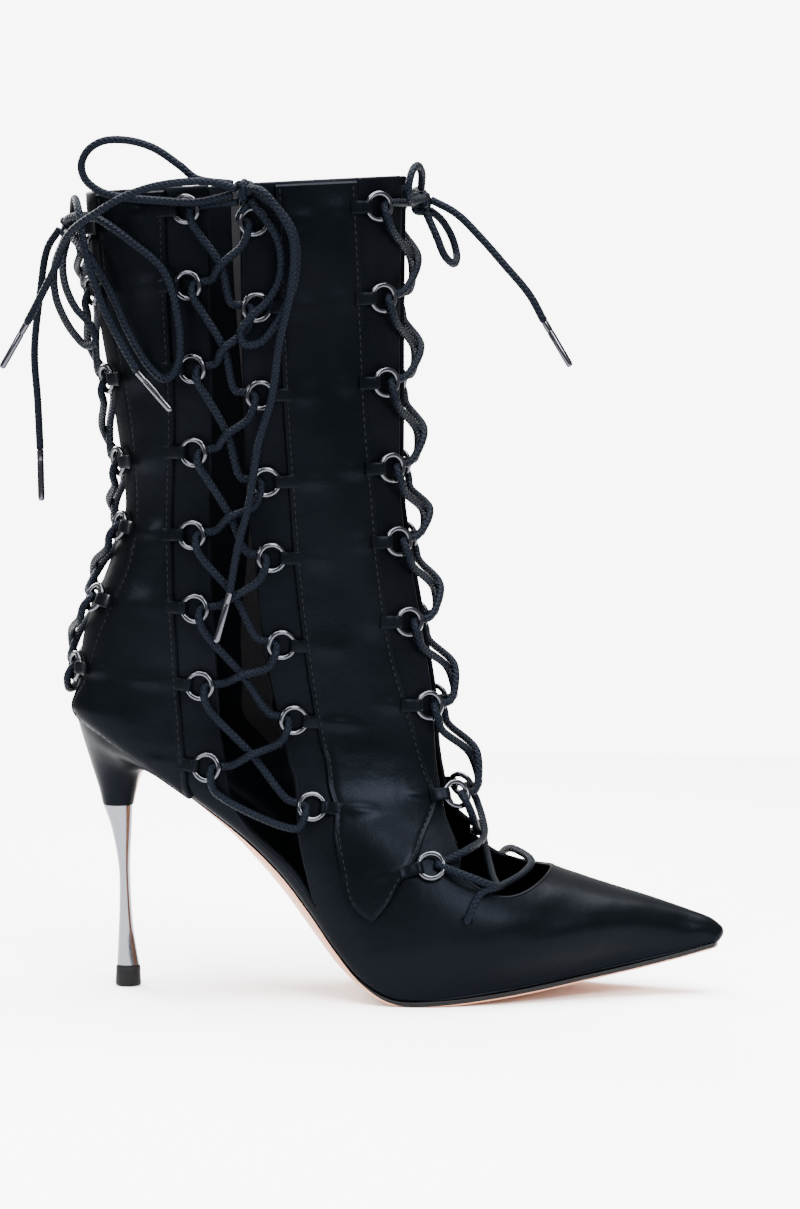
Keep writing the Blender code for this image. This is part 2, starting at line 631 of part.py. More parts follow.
def make_outsole():
    """Leather outsole from the heel's breast to the toe, flat at the ball, crowned at the waist."""
    places = [BREAST_ROW - 0.05] + [BREAST_ROW + 0.5] + list(range(BREAST_ROW + 1, TIP_ROW + 1))
    rings = []
    for place in places:
        x, z, feather, swing = half_feather(place)
        reach = feather + SOLE_MARGIN
        top = z - CLEARANCE
        edge = top - SOLE_THICKNESS
        crown = crown_depth(place)
        corners = [(-reach, top), (0, top), (reach, top), (reach, edge)]
        corners += [(reach * share, edge - crown * (1 - share ** 2)) for share in (.75, .4, 0, -.4, -.75)]
        corners.append((-reach, edge))
        rings.append([(x, swing + y, height) for y, height in corners])
    return add_object("outsole", loft("outsole", rings), SOLE_LEATHER)


def seat_outline():
    """Half outline of the heel seat: x from the back and half width, back to front."""
    places = [SEAT_ROW, SEAT_ROW + 0.3, SEAT_ROW + 0.6, SEAT_ROW + 1, SEAT_ROW + 1.5,
              SEAT_ROW + 2, SEAT_ROW + 2.5, BREAST_ROW - 0.15]
    rows = []
    for place in places:
        x, z, feather, swing = half_feather(place)
        rows.append((x, z, feather + HEEL_COVER_MARGIN, swing))
    return np.array(rows)


# Rings of the covered heel from the pin to the seat: shares of the way from the pin's top to
# the seat for the back line and the breast, share of the seat's width, roundness left
HeelRow = namedtuple("HeelRow", "back_x back_z front_x front_z width seat_like")
HEEL_ROWS = [
    HeelRow(0, 0, 0, 0, .20, 0),
    HeelRow(.14, .16, .05, .75, .27, .15),
    HeelRow(.42, .40, .13, 1.70, .42, .40),
    HeelRow(.66, .62, .28, 2.00, .62, .65),
    HeelRow(.85, .82, .52, 1.75, .83, .85),
    HeelRow(1, 1, 1, 1, 1, 1),
]


def make_heel_block():
    """Covered heel block that fans from the pin's round top to the sloping seat."""
    seat = seat_outline()
    seat_back, seat_front = seat[0], seat[-1]
    widest = seat[:, 2].max()
    slope = (seat_front[1] - seat_back[1]) / (seat_front[0] - seat_back[0])
    along = (seat[:, 0] - seat_back[0]) / (seat_front[0] - seat_back[0])
    base = PIN_TOP + CLEARANCE
    pin_back = -PIN_BACK_OFFSET
    pin_front = PIN_BACK_OFFSET * 0.25
    seat_top = seat_back[1] - CLEARANCE * 2
    front_top = seat_top + slope * (seat_front[0] - seat_back[0])
    bulge = seat[:, 1] - seat_back[1] - slope * (seat[:, 0] - seat_back[0])
    rings = []
    for row in HEEL_ROWS:
        back = np.array([pin_back + (seat_back[0] - pin_back) * row.back_x,
                         base + (seat_top - base) * row.back_z])
        front = np.array([pin_front + (seat_front[0] - pin_front) * row.front_x,
                          base + (front_top - base) * row.front_z])
        angles = np.linspace(0.12, math.pi - 0.12, len(along))
        round_along = (1 - np.cos(angles)) / 2
        share = round_along * (1 - row.seat_like) + along * row.seat_like
        width = np.sin(angles) * (1 - row.seat_like) + seat[:, 2] / widest * row.seat_like
        middle = np.outer(1 - share, back) + np.outer(share, front)
        middle[:, 1] += bulge * row.seat_like
        reach = width * widest * row.width
        lateral = [(x, swing * row.seat_like - y, z)
                   for (x, z), y, swing in zip(middle, reach, seat[:, 3])]
        medial = [(x, swing * row.seat_like + y, z)
                  for (x, z), y, swing in zip(middle, reach, seat[:, 3])]
        rings.append(lateral + medial[::-1])
    return add_object("heel_block", loft("heel_block", rings), LEATHER)


# Rings of the metal pin from its top down: share of the height, back and front as shares of the
# tip's diameter behind and before the heel's middle, and the depth as a share of PIN_DEPTH
PinRow = namedtuple("PinRow", "height back front depth")
PIN_ROWS = [
    PinRow(1, .85, .20, 1.10),
    PinRow(.85, .55, .14, .95),
    PinRow(.62, .32, .07, .80),
    PinRow(.42, .31, .10, .72),
    PinRow(.22, .35, .20, .74),
    PinRow(0, .43, .43, .88),
]


def make_heel_pin():
    """Slim metal pin of the heel, waisted, from the covered block to the top piece."""
    base = TOP_PIECE_HEIGHT + CLEARANCE
    rings = []
    for row in PIN_ROWS:
        z = base + (PIN_TOP - base) * row.height
        back = -row.back * HEEL_TIP_DIAMETER
        front = row.front * HEEL_TIP_DIAMETER
        middle = (back + front) / 2
        rings.append([(middle + (front - back) / 2 * math.cos(a), PIN_DEPTH * row.depth / 2 * math.sin(a), z)
                      for a in (2 * math.pi * i / 14 for i in range(14))])
    return add_object("heel_pin", loft("heel_pin", rings), CHROME)


def make_top_piece():
    """Black plug under the pin, with its flat face on the floor."""
    shape = bmesh.new()
    bmesh.ops.create_cone(shape, cap_ends=True, segments=20, radius1=HEEL_TIP_DIAMETER / 2,
                          radius2=HEEL_TIP_DIAMETER / 2 * 0.93, depth=TOP_PIECE_HEIGHT,
                          matrix=Matrix.Translation((0, 0, TOP_PIECE_HEIGHT / 2)))
    mesh = bpy.data.meshes.new("top_piece")
    shape.to_mesh(mesh)
    shape.free()
    return add_object("top_piece", mesh, RUBBER)


def beside(place, share, side, distance):
    """Share that lies a distance along the section's flank from another share, + to the front."""
    angle = share_angle(place, share)
    steps = 8
    for _ in range(steps):
        here = form_point(place, angle_share(place, angle), side)
        ahead = form_point(place, angle_share(place, angle + 0.005), side)
        angle += distance / steps * 0.005 / np.linalg.norm(ahead - here)
    return angle_share(place, min(max(angle, 0.001), 0.999))


def make_overlay(name, side, rear, front, end, rear_strip, front_strip):
    """Leather overlay between two edges, set in where a strip of ring tabs runs beside it.

    rear_strip and front_strip are the sections where each strip ends, or None without one.
    """
    def near(place):
        return beside(place, edge_share(rear, place), side, strip_inset(place, rear_strip, end))

    def far(place):
        return beside(place, edge_share(front, place), side, -strip_inset(place, front_strip, end))

    return panel(name, places_between(0, end), near, far, side, OVERLAY_GAP,
                 OVERLAY_GAP + OVERLAY_WALL, 4, LEATHER)


def strip_inset(place, strip_end, end):
    """How far an overlay's edge is set in for its strip: nothing again at the overlay's end."""
    if strip_end is None:
        return 0.0
    fade = min(1.0, (end - place) / (end - strip_end))
    return (TAB_STRIP + CLEARANCE) * max(fade, 0.0)


def move_mesh(mesh, matrix):
    """Place a mesh by a matrix and return it."""
    mesh.transform(matrix)
    return mesh


def torus_mesh():
    """Mesh of one lace ring, lying flat at the origin."""
    bpy.ops.mesh.primitive_torus_add(
        major_radius=(RING_DIAMETER - RING_WIRE) / 2, minor_radius=RING_WIRE / 2,
        major_segments=RING_STEPS, minor_segments=RING_SIDES)
    obj = bpy.context.object
    mesh = obj.data
    bpy.data.objects.remove(obj, do_unlink=True)
    return mesh


def box_mesh(size, matrix):
    """Mesh of a box of a size, placed by a matrix."""
    shape = bmesh.new()
    bmesh.ops.create_cube(shape, size=1, matrix=matrix @ Matrix.Diagonal((*size, 1)))
    mesh = bpy.data.meshes.new("box")
    shape.to_mesh(mesh)
    shape.free()
    return mesh


def rod_mesh(diameter, length, sides, matrix):
    """Mesh of a capped cylinder along its own z, placed by a matrix."""
    shape = bmesh.new()
    bmesh.ops.create_cone(shape, cap_ends=True, segments=sides, radius1=diameter / 2,
                          radius2=diameter / 2, depth=length, matrix=matrix)
    mesh = bpy.data.meshes.new("rod")
    shape.to_mesh(mesh)
    shape.free()
    return mesh


def joined_mesh(name, meshes):
    """One mesh that holds several closed meshes."""
    shape = bmesh.new()
    for mesh in meshes:
        shape.from_mesh(mesh)
    made = bpy.data.meshes.new(name)
    shape.to_mesh(made)
    shape.free()
    return made


def flank_frame(place, share, side, lift):
    """Matrix at a lifted point of the last: x to the front along the section, z outwards."""
    normal = Vector(outward(place, share, side))
    point = Vector(form_point(place, share, side)) + normal * lift
    ahead = Vector(form_point(place, min(share + 0.02, 0.999), side))
    behind = Vector(form_point(place, max(share - 0.02, 0.001), side))
    along = (ahead - behind)
    along = (along - normal * along.dot(normal)).normalized()
    across = normal.cross(along)
    matrix = Matrix((along, across, normal)).transposed().to_4x4()
    matrix.translation = point
    return matrix


def ring_share(column, place, side, forward):
    """Share of a ring's middle: TAB_REACH from its overlay's edge, ahead of it or behind it."""
    return beside(place, edge_share(column, place), side, TAB_REACH * forward)


def make_ring_row(name, places, column, side, forward, strip_end):
    """Rings of one row with their tabs on a strip along the overlay's edge, as one solid.

    forward is 1 where the rings lie ahead of the edge, and -1 where they lie behind it.
    """
    def edge(place):
        return edge_share(column, place)

    def inner(place):
        return beside(place, edge(place), side, -forward * TAB_STRIP)

    near, far = (inner, edge) if forward > 0 else (edge, inner)
    row = panel(name, places_between(0, strip_end), near, far, side, OVERLAY_GAP,
                OVERLAY_GAP + OVERLAY_WALL, 1, GUNMETAL)
    tabs = []
    rings = []
    for place in places:
        share = ring_share(column, place, side, forward)
        frame = flank_frame(place, share, side, RING_LIFT)
        rings.append(move_mesh(torus_mesh(), frame))
        root = Vector(form_point(place, beside(place, edge(place), side, -forward * TAB_STRIP / 4), side,
                                 OVERLAY_GAP + OVERLAY_WALL / 2))
        wire = frame @ Vector((-forward * (RING_DIAMETER / 2 - RING_WIRE), 0, 0))
        along = (wire - root)
        middle = (root + wire) / 2
        normal = Vector(frame.col[2][:3])
        along_unit = along.normalized()
        across = normal.cross(along_unit).normalized()
        tab = Matrix((along_unit, across, along_unit.cross(across))).transposed().to_4x4()
        tab.translation = middle
        tabs.append(box_mesh((along.length, TAB_WIDTH, TAB_THICKNESS), tab))
    combine(row, add_object(name + "_tabs", joined_mesh(name, tabs), smooth=False), "UNION")
    combine(row, add_object(name + "_rings", joined_mesh(name, rings), smooth=False), "UNION")
    return row


def lace_hook(column, place, side, forward):
    """Point just past a ring, towards the opening, where the crossing lace turns."""
    share = ring_share(column, place, side, forward)
    reach = RING_DIAMETER / 2 + LACE_DIAMETER / 2 + CLEARANCE * 2
    return flank_frame(place, share, side, LACE_LIFT) @ Vector((forward * reach, 0, 0))


def cord_mesh(name, points, diameter):
    """Closed tube of a cord along its points, from a bevelled poly curve."""
    line = bpy.data.curves.new(name, "CURVE")
    line.dimensions = "3D"
    line.bevel_depth = diameter / 2
    line.bevel_resolution = 0
    line.use_fill_caps = True
    spline = line.splines.new("POLY")
    spline.points.add(len(points) - 1)
    for point, place in zip(spline.points, points):
        point.co = (*place, 1)
    carrier = bpy.data.objects.new(name, line)
    CUTTERS.objects.link(carrier)
    graph = bpy.context.evaluated_depsgraph_get()
    mesh = bpy.data.meshes.new_from_object(carrier.evaluated_get(graph))
    bpy.data.objects.remove(carrier, do_unlink=True)
    shape = bmesh.new()
    shape.from_mesh(mesh)
    bmesh.ops.remove_doubles(shape, verts=shape.verts, dist=1e-6)
    bmesh.ops.recalc_face_normals(shape, faces=shape.faces)
    shape.to_mesh(mesh)
    shape.free()
    return mesh


def smooth_route(points):
    """Evenly spaced points on a smooth curve (Catmull-Rom) through a route's own points."""
    ends = [2 * points[0] - points[1]] + points + [2 * points[-1] - points[-2]]
    dense = []
    fine = 12
    for i in range(len(points) - 1):
        a, b, c, d = ends[i:i + 4]
        for k in range(fine):
            t = k / fine
            dense.append(0.5 * (2 * b + (c - a) * t + (2 * a - 5 * b + 4 * c - d) * t ** 2
                                + (3 * b - a - 3 * c + d) * t ** 3))
    dense.append(points[-1])
    travelled = [0.0]
    for here, after in zip(dense, dense[1:]):
        travelled.append(travelled[-1] + (after - here).length)
    count = max(2, round(travelled[-1] / CORD_STEP))
    marks = np.linspace(0, travelled[-1], count + 1)
    spread = [np.interp(marks, travelled, [p[k] for p in dense]) for k in range(3)]
    return [Vector(p) for p in zip(*spread)]


def knot_exit(name, toward):
    """Point just off a knot where a strand leaves it towards a point in millimetres."""
    middle, half_sizes = KNOTS[name]
    way = (Vector(toward) - Vector(middle)).normalized()
    radius = 1 / math.sqrt(sum((w / h) ** 2 for w, h in zip(way, half_sizes)))
    return (Vector(middle) + way * radius) * MILLIMETRE + way * KNOT_GAP


def route_of(rows):
    """A route's hand chosen rows in millimetres as points in metres."""
    return [Vector(row) * MILLIMETRE for row in rows]


def add_cord(name, points):
    """Cord along points, as a bevelled poly curve with closed ends."""
    line = bpy.data.curves.new(name, "CURVE")
    line.dimensions = "3D"
    line.bevel_depth = LACE_DIAMETER / 2
    line.bevel_resolution = 2
    line.use_fill_caps = True
    line.materials.append(material(CORD))
    spline = line.splines.new("POLY")
    spline.points.add(len(points) - 1)
    for point, place in zip(spline.points, points):
        point.co = (*place, 1)
    obj = bpy.data.objects.new(name, line)
    PARTS.objects.link(obj)
    return obj


def make_bows():
    """Knots, loops, free ends and aglets of the three laces."""
    for name, (middle, half_sizes) in KNOTS.items():
        shape = bmesh.new()
        bmesh.ops.create_icosphere(shape, subdivisions=2, radius=1)
        mesh = bpy.data.meshes.new(name)
        shape.to_mesh(mesh)
        shape.free()
        place = Matrix.Translation(Vector(middle) * MILLIMETRE)
        sizes = Matrix.Diagonal((*(Vector(half_sizes) * MILLIMETRE), 1))
        add_object(name + "_lace_knot", move_mesh(mesh, place @ sizes), CORD)
    for name, rows in LOOPS.items():
        knot = name.split("_")[0]
        inside = route_of(rows[1:-1])
        route = [knot_exit(knot, rows[0])] + inside + [knot_exit(knot, rows[-1])]
        add_cord(name, smooth_route(route))
    for name, rows in ENDS.items():
        route = [knot_exit(name.split("_")[0], rows[0])] + route_of(rows[1:])
        points = smooth_route(route[:-1])
        add_cord(name, points)
        way = (route[-1] - points[-1]).normalized()
        middle = points[-1] + way * (CLEARANCE + AGLET_LENGTH / 2)
        turn = Vector((0, 0, 1)).rotation_difference(way).to_matrix().to_4x4()
        mesh = rod_mesh(AGLET_DIAMETER, AGLET_LENGTH, 10, Matrix.Translation(middle) @ turn)
        add_object(name.replace("_end", "_aglet"), mesh, GUNMETAL)


def make_crossings(name, left, right, bulge, turns=None, foot=(), bar=()):
    """Crossed lace between two rows of hooks as one solid.

    left and right are as seen from outside; each pair of strands meets in the middle, raised by
    the bulge off the chord. The top hooks lead on to the knot. turns are the points that the lowest strands turn over before their
    hooks, left and right. foot is the route between the lowest hooks and bar is one more strand.
    """
    knot = name.split("_")[1]
    left_lead, right_lead = (knot_exit(knot, toward) for toward in LEADS[knot])
    first = [right_lead, right[0]]
    second = [left_lead, left[0]]
    for i in range(1, len(left)):
        corners = [left[i - 1], right[i - 1], left[i], right[i]]
        down = (left[i] + right[i]) - (left[i - 1] + right[i - 1])
        out = down.cross(right[i] - left[i]).normalized() * bulge
        middle = sum(corners, Vector()) / 4 + out
        first += [middle, (left if i % 2 else right)[i]]
        second += [middle, (right if i % 2 else left)[i]]
    if turns:
        first.insert(-1, turns[1])
        second.insert(-1, turns[0])
    strands = [first + list(foot) + [second[-1]], second]
    if bar:
        strands.append(list(bar))
    lace = add_object(name, cord_mesh(name, strands[0], LACE_DIAMETER), CORD)
    for strand in strands[1:]:
        combine(lace, add_object(name + "_strand", cord_mesh(name, strand, LACE_DIAMETER)), "UNION")
    return lace


def flipped(point):
    """A point mirrored to the boot's other side."""
    return Vector((point[0], -point[1], point[2]))


def make_zip():
    """Zip tape in the slit, slider at its top and pull that swings on the slider's pivot."""
    half = ZIP_SLIT / 2 - CLEARANCE
    tape_top = -CLEARANCE
    panel("zip_tape", places_between(0.02, ZIP_END - 0.05), zip_edge(-half), zip_edge(half), MEDIAL,
          -UPPER_WALL + CLEARANCE, tape_top, 2, GUNMETAL)

    seat = form_point(SLIDER_PLACE, ZIP_LINE, MEDIAL)
    plate_y = seat[1] + CLEARANCE * 2 + SLIDER_PLATE / 2
    centre = Vector((seat[0], plate_y, seat[2] - SLIDER_LENGTH / 2))
    pivot = centre + Vector((0, SLIDER_PLATE / 2 + PIVOT_HEIGHT, 0))
    lug_height = PIVOT_HEIGHT + PIVOT_DIAMETER
    lug_gap = EYE_WIDTH / 2 + 0.0005 + LUG_WIDTH / 2
    slider = add_object("zip_slider", box_mesh((SLIDER_WIDTH, SLIDER_PLATE, SLIDER_LENGTH),
                                               Matrix.Translation(centre)), CHROME, smooth=False)
    lugs = [box_mesh((LUG_WIDTH, lug_height + SLIDER_PLATE / 2, EYE_BORE),
                     Matrix.Translation(centre + Vector((x, lug_height / 2 + SLIDER_PLATE / 4, 0))))
            for x in (-lug_gap, lug_gap)]
    level = Matrix.Rotation(math.pi / 2, 4, "Y")
    pin = rod_mesh(PIVOT_DIAMETER, lug_gap * 2, 10, Matrix.Translation(pivot) @ level)
    combine(slider, add_object("slider_lugs", joined_mesh("lugs", lugs), smooth=False), "UNION")
    combine(slider, add_object("slider_pin", pin, smooth=False), "UNION")

    swing = bpy.data.objects.new("zip_pull_joint", None)
    swing.location = pivot
    PARTS.objects.link(swing)
    eye = rod_mesh(EYE_DIAMETER, EYE_WIDTH, 16, level)
    pull = add_object("zip_pull", eye, CHROME, smooth=False)
    neck = box_mesh((EYE_WIDTH, PULL_THICKNESS, EYE_DIAMETER * 1.4),
                    Matrix.Translation((0, 0, -EYE_DIAMETER * 0.95)))
    tongue = box_mesh((PULL_WIDTH, PULL_THICKNESS, PULL_LENGTH),
                      Matrix.Translation((0, 0, -EYE_DIAMETER - PULL_LENGTH / 2)))
    combine(pull, add_object("pull_neck", neck, smooth=False), "UNION")
    combine(pull, add_object("pull_tongue", tongue, smooth=False), "UNION")
    bore = rod_mesh(EYE_BORE, EYE_WIDTH * 2, 16, level)
    combine(pull, add_object("pull_bore", bore, smooth=False), "DIFFERENCE")
    for piece in (pull, *[bpy.data.objects[n] for n in ("pull_neck", "pull_tongue", "pull_bore")]):
        piece.parent = swing


make_upper()
make_insole()
make_outsole()
make_heel_block()
make_heel_pin()
make_top_piece()
for word, flank in (("outer", LATERAL), ("inner", MEDIAL)):
    laced = flank == LATERAL
    make_overlay("quarter_" + word, flank, "quarter_back", "quarter_front", QUARTER_END,
                 BACK_STRIP_END, SIDE_REAR_STRIP_END if laced else None)
    make_overlay("front_leaf_" + word, flank, "leaf_rear", "leaf_front", LEAF_END,
                 SIDE_FRONT_STRIP_END if laced else None, FRONT_STRIP_END)
    make_ring_row("rings_back_" + word, BACK_RINGS, "quarter_back", flank, -1, BACK_STRIP_END)
    make_ring_row("rings_front_" + word, FRONT_RINGS, "leaf_front", flank, 1, FRONT_STRIP_END)
make_ring_row("rings_side_rear", SIDE_REAR_RINGS, "quarter_front", LATERAL, 1, SIDE_REAR_STRIP_END)
make_ring_row("rings_side_front", SIDE_FRONT_RINGS, "leaf_rear", LATERAL, -1, SIDE_FRONT_STRIP_END)
make_zip()
make_crossings("lace_back_crossings",
               [lace_hook("quarter_back", p, MEDIAL, -1) for p in BACK_RINGS],
               [lace_hook("quarter_back", p, LATERAL, -1) for p in BACK_RINGS], BACK_BULGE)
make_crossings("lace_side_crossings",
               [lace_hook("quarter_front", p, LATERAL, 1) for p in SIDE_REAR_RINGS],
               [lace_hook("leaf_rear", p, LATERAL, -1) for p in SIDE_FRONT_RINGS], SIDE_BULGE)
medial_turn = Vector(THROAT_EDGE) * MILLIMETRE
hole_ends = [flank_frame(*LACE_HOLE, side, LACE_LIFT).translation for side in (LATERAL, MEDIAL)]
make_crossings("lace_front_crossings",
               [lace_hook("leaf_front", p, LATERAL, 1) for p in FRONT_RINGS],
               [lace_hook("leaf_front", p, MEDIAL, 1) for p in FRONT_RINGS], FRONT_BULGE,
               (flipped(medial_turn), medial_turn), route_of(FRONT_BAR)[::-1],
               [hole_ends[0]] + route_of(VAMP_BAR) + [hole_ends[1]])
make_bows()
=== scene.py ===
"""Lace up stiletto ankle boot, right foot: its looks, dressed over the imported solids.

Metres, +Z up, +X to the toe, -Y to the outer (lateral) side, origin under the heel tip.
"""
import logging
import math
from dataclasses import dataclass, field
from enum import Enum

import bmesh
import bpy
import numpy as np
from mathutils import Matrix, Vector


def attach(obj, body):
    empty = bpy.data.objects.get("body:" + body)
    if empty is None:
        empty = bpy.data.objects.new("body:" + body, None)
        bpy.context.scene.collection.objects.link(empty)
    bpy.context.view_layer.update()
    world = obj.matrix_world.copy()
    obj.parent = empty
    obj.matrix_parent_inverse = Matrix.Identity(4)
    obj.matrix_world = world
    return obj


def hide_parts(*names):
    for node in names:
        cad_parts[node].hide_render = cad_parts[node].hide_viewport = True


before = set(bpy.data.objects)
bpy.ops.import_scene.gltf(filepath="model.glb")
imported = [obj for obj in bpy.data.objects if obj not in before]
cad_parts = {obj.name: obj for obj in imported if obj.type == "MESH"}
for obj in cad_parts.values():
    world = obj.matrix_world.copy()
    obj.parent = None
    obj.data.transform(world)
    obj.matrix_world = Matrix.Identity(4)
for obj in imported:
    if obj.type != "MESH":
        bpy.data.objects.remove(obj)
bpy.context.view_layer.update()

LOG = logging.getLogger("ankle_boot")
MM = 0.001

# Driving sizes: first the last and the leather, then the heel, the openings, the rings and the laces
FOOT_LENGTH = 0.2387
HEEL_SETBACK = 0.0182
HEEL_HEIGHT = 0.1055
SHAFT_HEIGHT = 0.1945
VAMP_HEIGHT = 0.046
TOE_SPRING = 0.017
TOE_DROP = 0.0010
BALL_WIDTH = 0.080
HEEL_WIDTH = 0.058
COLLAR_WIDTH = 0.070
CLEARANCE = 0.0003
UPPER_WALL = 0.0018
SOLE_THICKNESS = 0.0022
SOLE_MARGIN = 0.0010
WAIST_CROWN = 0.0085
INSOLE_THICKNESS = 0.0022
HEEL_TIP_DIAMETER = 0.0096
TOP_PIECE_HEIGHT = 0.0075
PIN_TOP = 0.0677
PIN_BACK_OFFSET = 0.0092
PIN_DEPTH = 0.0086
HEEL_COVER_MARGIN = 0.0008
BACK_GAP = 0.026
BACK_GAP_FLOOR = 0.1095
THROAT_LENGTH = 0.0520
THROAT_WIDTH = 0.066
THROAT_FRONT = 0.1588
THROAT_BACK = 0.1263
THROAT_SQUARENESS = 2.2
INNER_THROAT = 0.74
INNER_SLOT = 0.0205
ZIP_SLIT = 0.0070
RING_DIAMETER = 0.0114
RING_WIRE = 0.0020
RING_LIFT = 0.0014
TAB_REACH = 0.0076
TAB_WIDTH = 0.0050
LACE_DIAMETER = 0.0029
AGLET_DIAMETER = 0.0026
AGLET_LENGTH = 0.0190
KNOT_GAP = 0.0007
LAST_BASE = SOLE_THICKNESS + CLEARANCE
CUT_DEPTH = 0.006
ABOVE_COLLAR = 0.33

# A direction that no lace follows, to start frames across a path
ASKEW = np.array([0.3, 0.9, 0.31])

# One row for each section of the last, from the collar round the heel to the toe: x as shares of
# the foot length, heights as shares of heel, shaft, vamp and toe spring, swings and widths as
# shares of half the ball, heel and collar widths, then the feather, widest place and roundness.
SECTIONS = np.array([
    [.022, 1, .969, .520, 1, 1.00, 0, 0, 0, 0, 1.0, 0, 0, .26, .48, 2.1],
    [.036, 1, .784, .517, 1, .805, 0, 0, 0, 0, .97, 0, 0, .26, .48, 2.1],
    [.065, 1, .563, .517, 1, .568, 0, 0, 0, 0, .92, 0, 0, .27, .47, 2.1],
    [.081, 1, .383, .520, 1, .393, 0, 0, 0, 0, .57, .36, 0, .27, .45, 2.2],
    [.057, 1, .280, .539, 1, .260, 0, 0, 0, 0, .30, .68, 0, .27, .42, 2.3],
    [.018, 1, .152, .564, 1, .105, 0, 0, 0, 0, .10, .90, 0, .27, .38, 2.5],
    [.009, 1, .059, .581, 1, .003, 0, 0, 0, 0, 0, 1.0, 0, .27, .34, 2.6],
    [.000, 1, 0, .594, .872, 0, 0, 0, 0, 0, 0, 1.0, 0, .28, .32, 2.7],
    [.051, .918, 0, .606, .768, 0, 0, 0, 0, 0, 0, 1.02, 0, .66, .32, 2.6],
    [.118, .811, 0, .619, .692, 0, 0, 0, -.012, 0, 0, 1.03, 0, .78, .34, 2.4],
    [.194, .690, 0, .636, .630, 0, 0, 0, -.038, .012, 0, .50, .41, .76, .38, 2.2],
    [.269, .558, 0, .656, .576, 0, 0, 0, -.070, .020, 0, .25, .63, .70, .42, 2.0],
    [.328, .428, 0, .677, .529, 0, 0, 0, -.105, .025, 0, 0, .85, .67, .45, 2.0],
    [.374, .295, 0, .696, .493, 0, 0, 0, -.130, .030, 0, 0, .89, .68, .45, 2.0],
    [.416, .163, 0, .721, 0, 0, 1.065, 0, -.138, .038, 0, 0, .93, .74, .45, 2.0],
    [.457, .061, 0, .747, 0, 0, 1.000, 0, -.130, .045, 0, 0, .96, .81, .42, 2.0],
    [.508, 0, 0, .778, 0, 0, .946, 0, -.100, .055, 0, 0, .95, .92, .38, 2.0],
    [.575, 0, 0, .811, 0, 0, .891, 0, -.045, .065, 0, 0, .89, 1.03, .30, 2.0],
    [.646, 0, 0, .847, 0, 0, .797, .10, .012, .075, 0, 0, .78, 1.10, .30, 2.0],
    [.721, 0, 0, .883, 0, 0, .688, .25, .055, .085, 0, 0, .62, 1.14, .30, 2.0],
    [.801, 0, 0, .918, 0, 0, .556, .45, .088, .095, 0, 0, .43, 1.16, .30, 2.0],
    [.876, 0, 0, .954, 0, 0, .418, .65, .105, .105, 0, 0, .275, 1.18, .30, 2.0],
    [.939, 0, 0, .984, 0, 0, .285, .85, .112, .112, 0, 0, .18, 1.12, .36, 2.0],
    [.982, 0, 0, 1.004, 0, 0, .150, 1.0, .115, .115, 0, 0, .11, 1.05, .45, 2.0],
])
SEAT_ROW, BREAST_ROW, BALL_ROW, TOE_ROW, TIP_ROW = 7, 10, 16, 22, 23

# Panel edges for each section from the collar down, as shares of the way from its back or
# bottom (0) to its front or top (1)
EDGES = np.array([
    [.053, .277, .405, .511, .607, .850],
    [.053, .264, .389, .502, .609, .865],
    [.065, .234, .353, .476, .599, .872],
    [.054, .194, .316, .464, .600, .886],
    [.075, .228, .341, .496, .610, .877],
    [.053, .282, .383, .531, .634, .880],
    [.026, .292, .388, .550, .641, .895],
    [.012, .303, .395, .565, .650, .905],
    [.004, .238, .339, .529, .623, .899],
    [.004, .139, .253, .474, .566, .890],
    [.004, .012, .136, .373, .494, .829],
    [0, 0, .055, .242, .376, .726],
    [0, 0, .060, .130, .277, .604],
    [0, 0, .040, .050, .200, .420],
    [0, 0, .040, .050, .205, .235],
])
QUARTER_END, GAP_END, LEAF_END, ZIP_END = 9.9, 12.9, 13.9, 8.5
ZIP_LINE = .455
LACE_HOLE = (14.8, .58)
LACE_HOLE_DIAMETER = 0.0034

# The front opening's half width at heights, as it widens down into the throat
FRONT_SLOT = [(.010, .112), (.0108, .102), (.013, .0855), (.0155, .0745), (.020, .065), (.0255, .0555)]


class Side(Enum):
    """The boot's two sides, with the sign of their y."""

    LATERAL = -1
    MEDIAL = 1


class Edge(Enum):
    """Panel edges, as columns of EDGES."""

    QUARTER_BACK = 0
    QUARTER_FRONT = 1
    GAP_REAR = 2
    GAP_FRONT = 3
    LEAF_REAR = 4
    LEAF_FRONT = 5


def linear(hex_code: str) -> tuple[float, float, float, float]:
    """Turn an sRGB hex colour into a linear colour.

    Args:
        hex_code: six hex digits.

    Returns:
        Red, green, blue and alpha.
    """
    parts = [int(hex_code[i:i + 2], 16) / 255 for i in (0, 2, 4)]
    return (*[p / 12.92 if p <= 0.04045 else ((p + 0.055) / 1.055) ** 2.4 for p in parts], 1.0)


# Inputs of a Map Range node, in order
RANGE = ("From Min", "From Max", "To Min", "To Max")


def add_node(tree: bpy.types.NodeTree, kind: str, settings: dict | None = None,
             links: dict | None = None) -> bpy.types.Node:
    """Add a node with its settings and links.

    Args:
        tree: the material's or world's node tree.
        kind: the shader node's type, without its first two words.
        settings: values of its properties, or of its inputs by name or number.
        links: output sockets to join to its inputs, by name or number.

    Returns:
        The node.
    """
    node = tree.nodes.new("ShaderNode" + kind)
    for key, value in (settings or {}).items():
        if isinstance(key, str) and hasattr(node, key):
            setattr(node, key, value)
        else:
            node.inputs[key].default_value = value
    for key, socket in (links or {}).items():
        tree.links.new(socket, node.inputs[key])
    return node


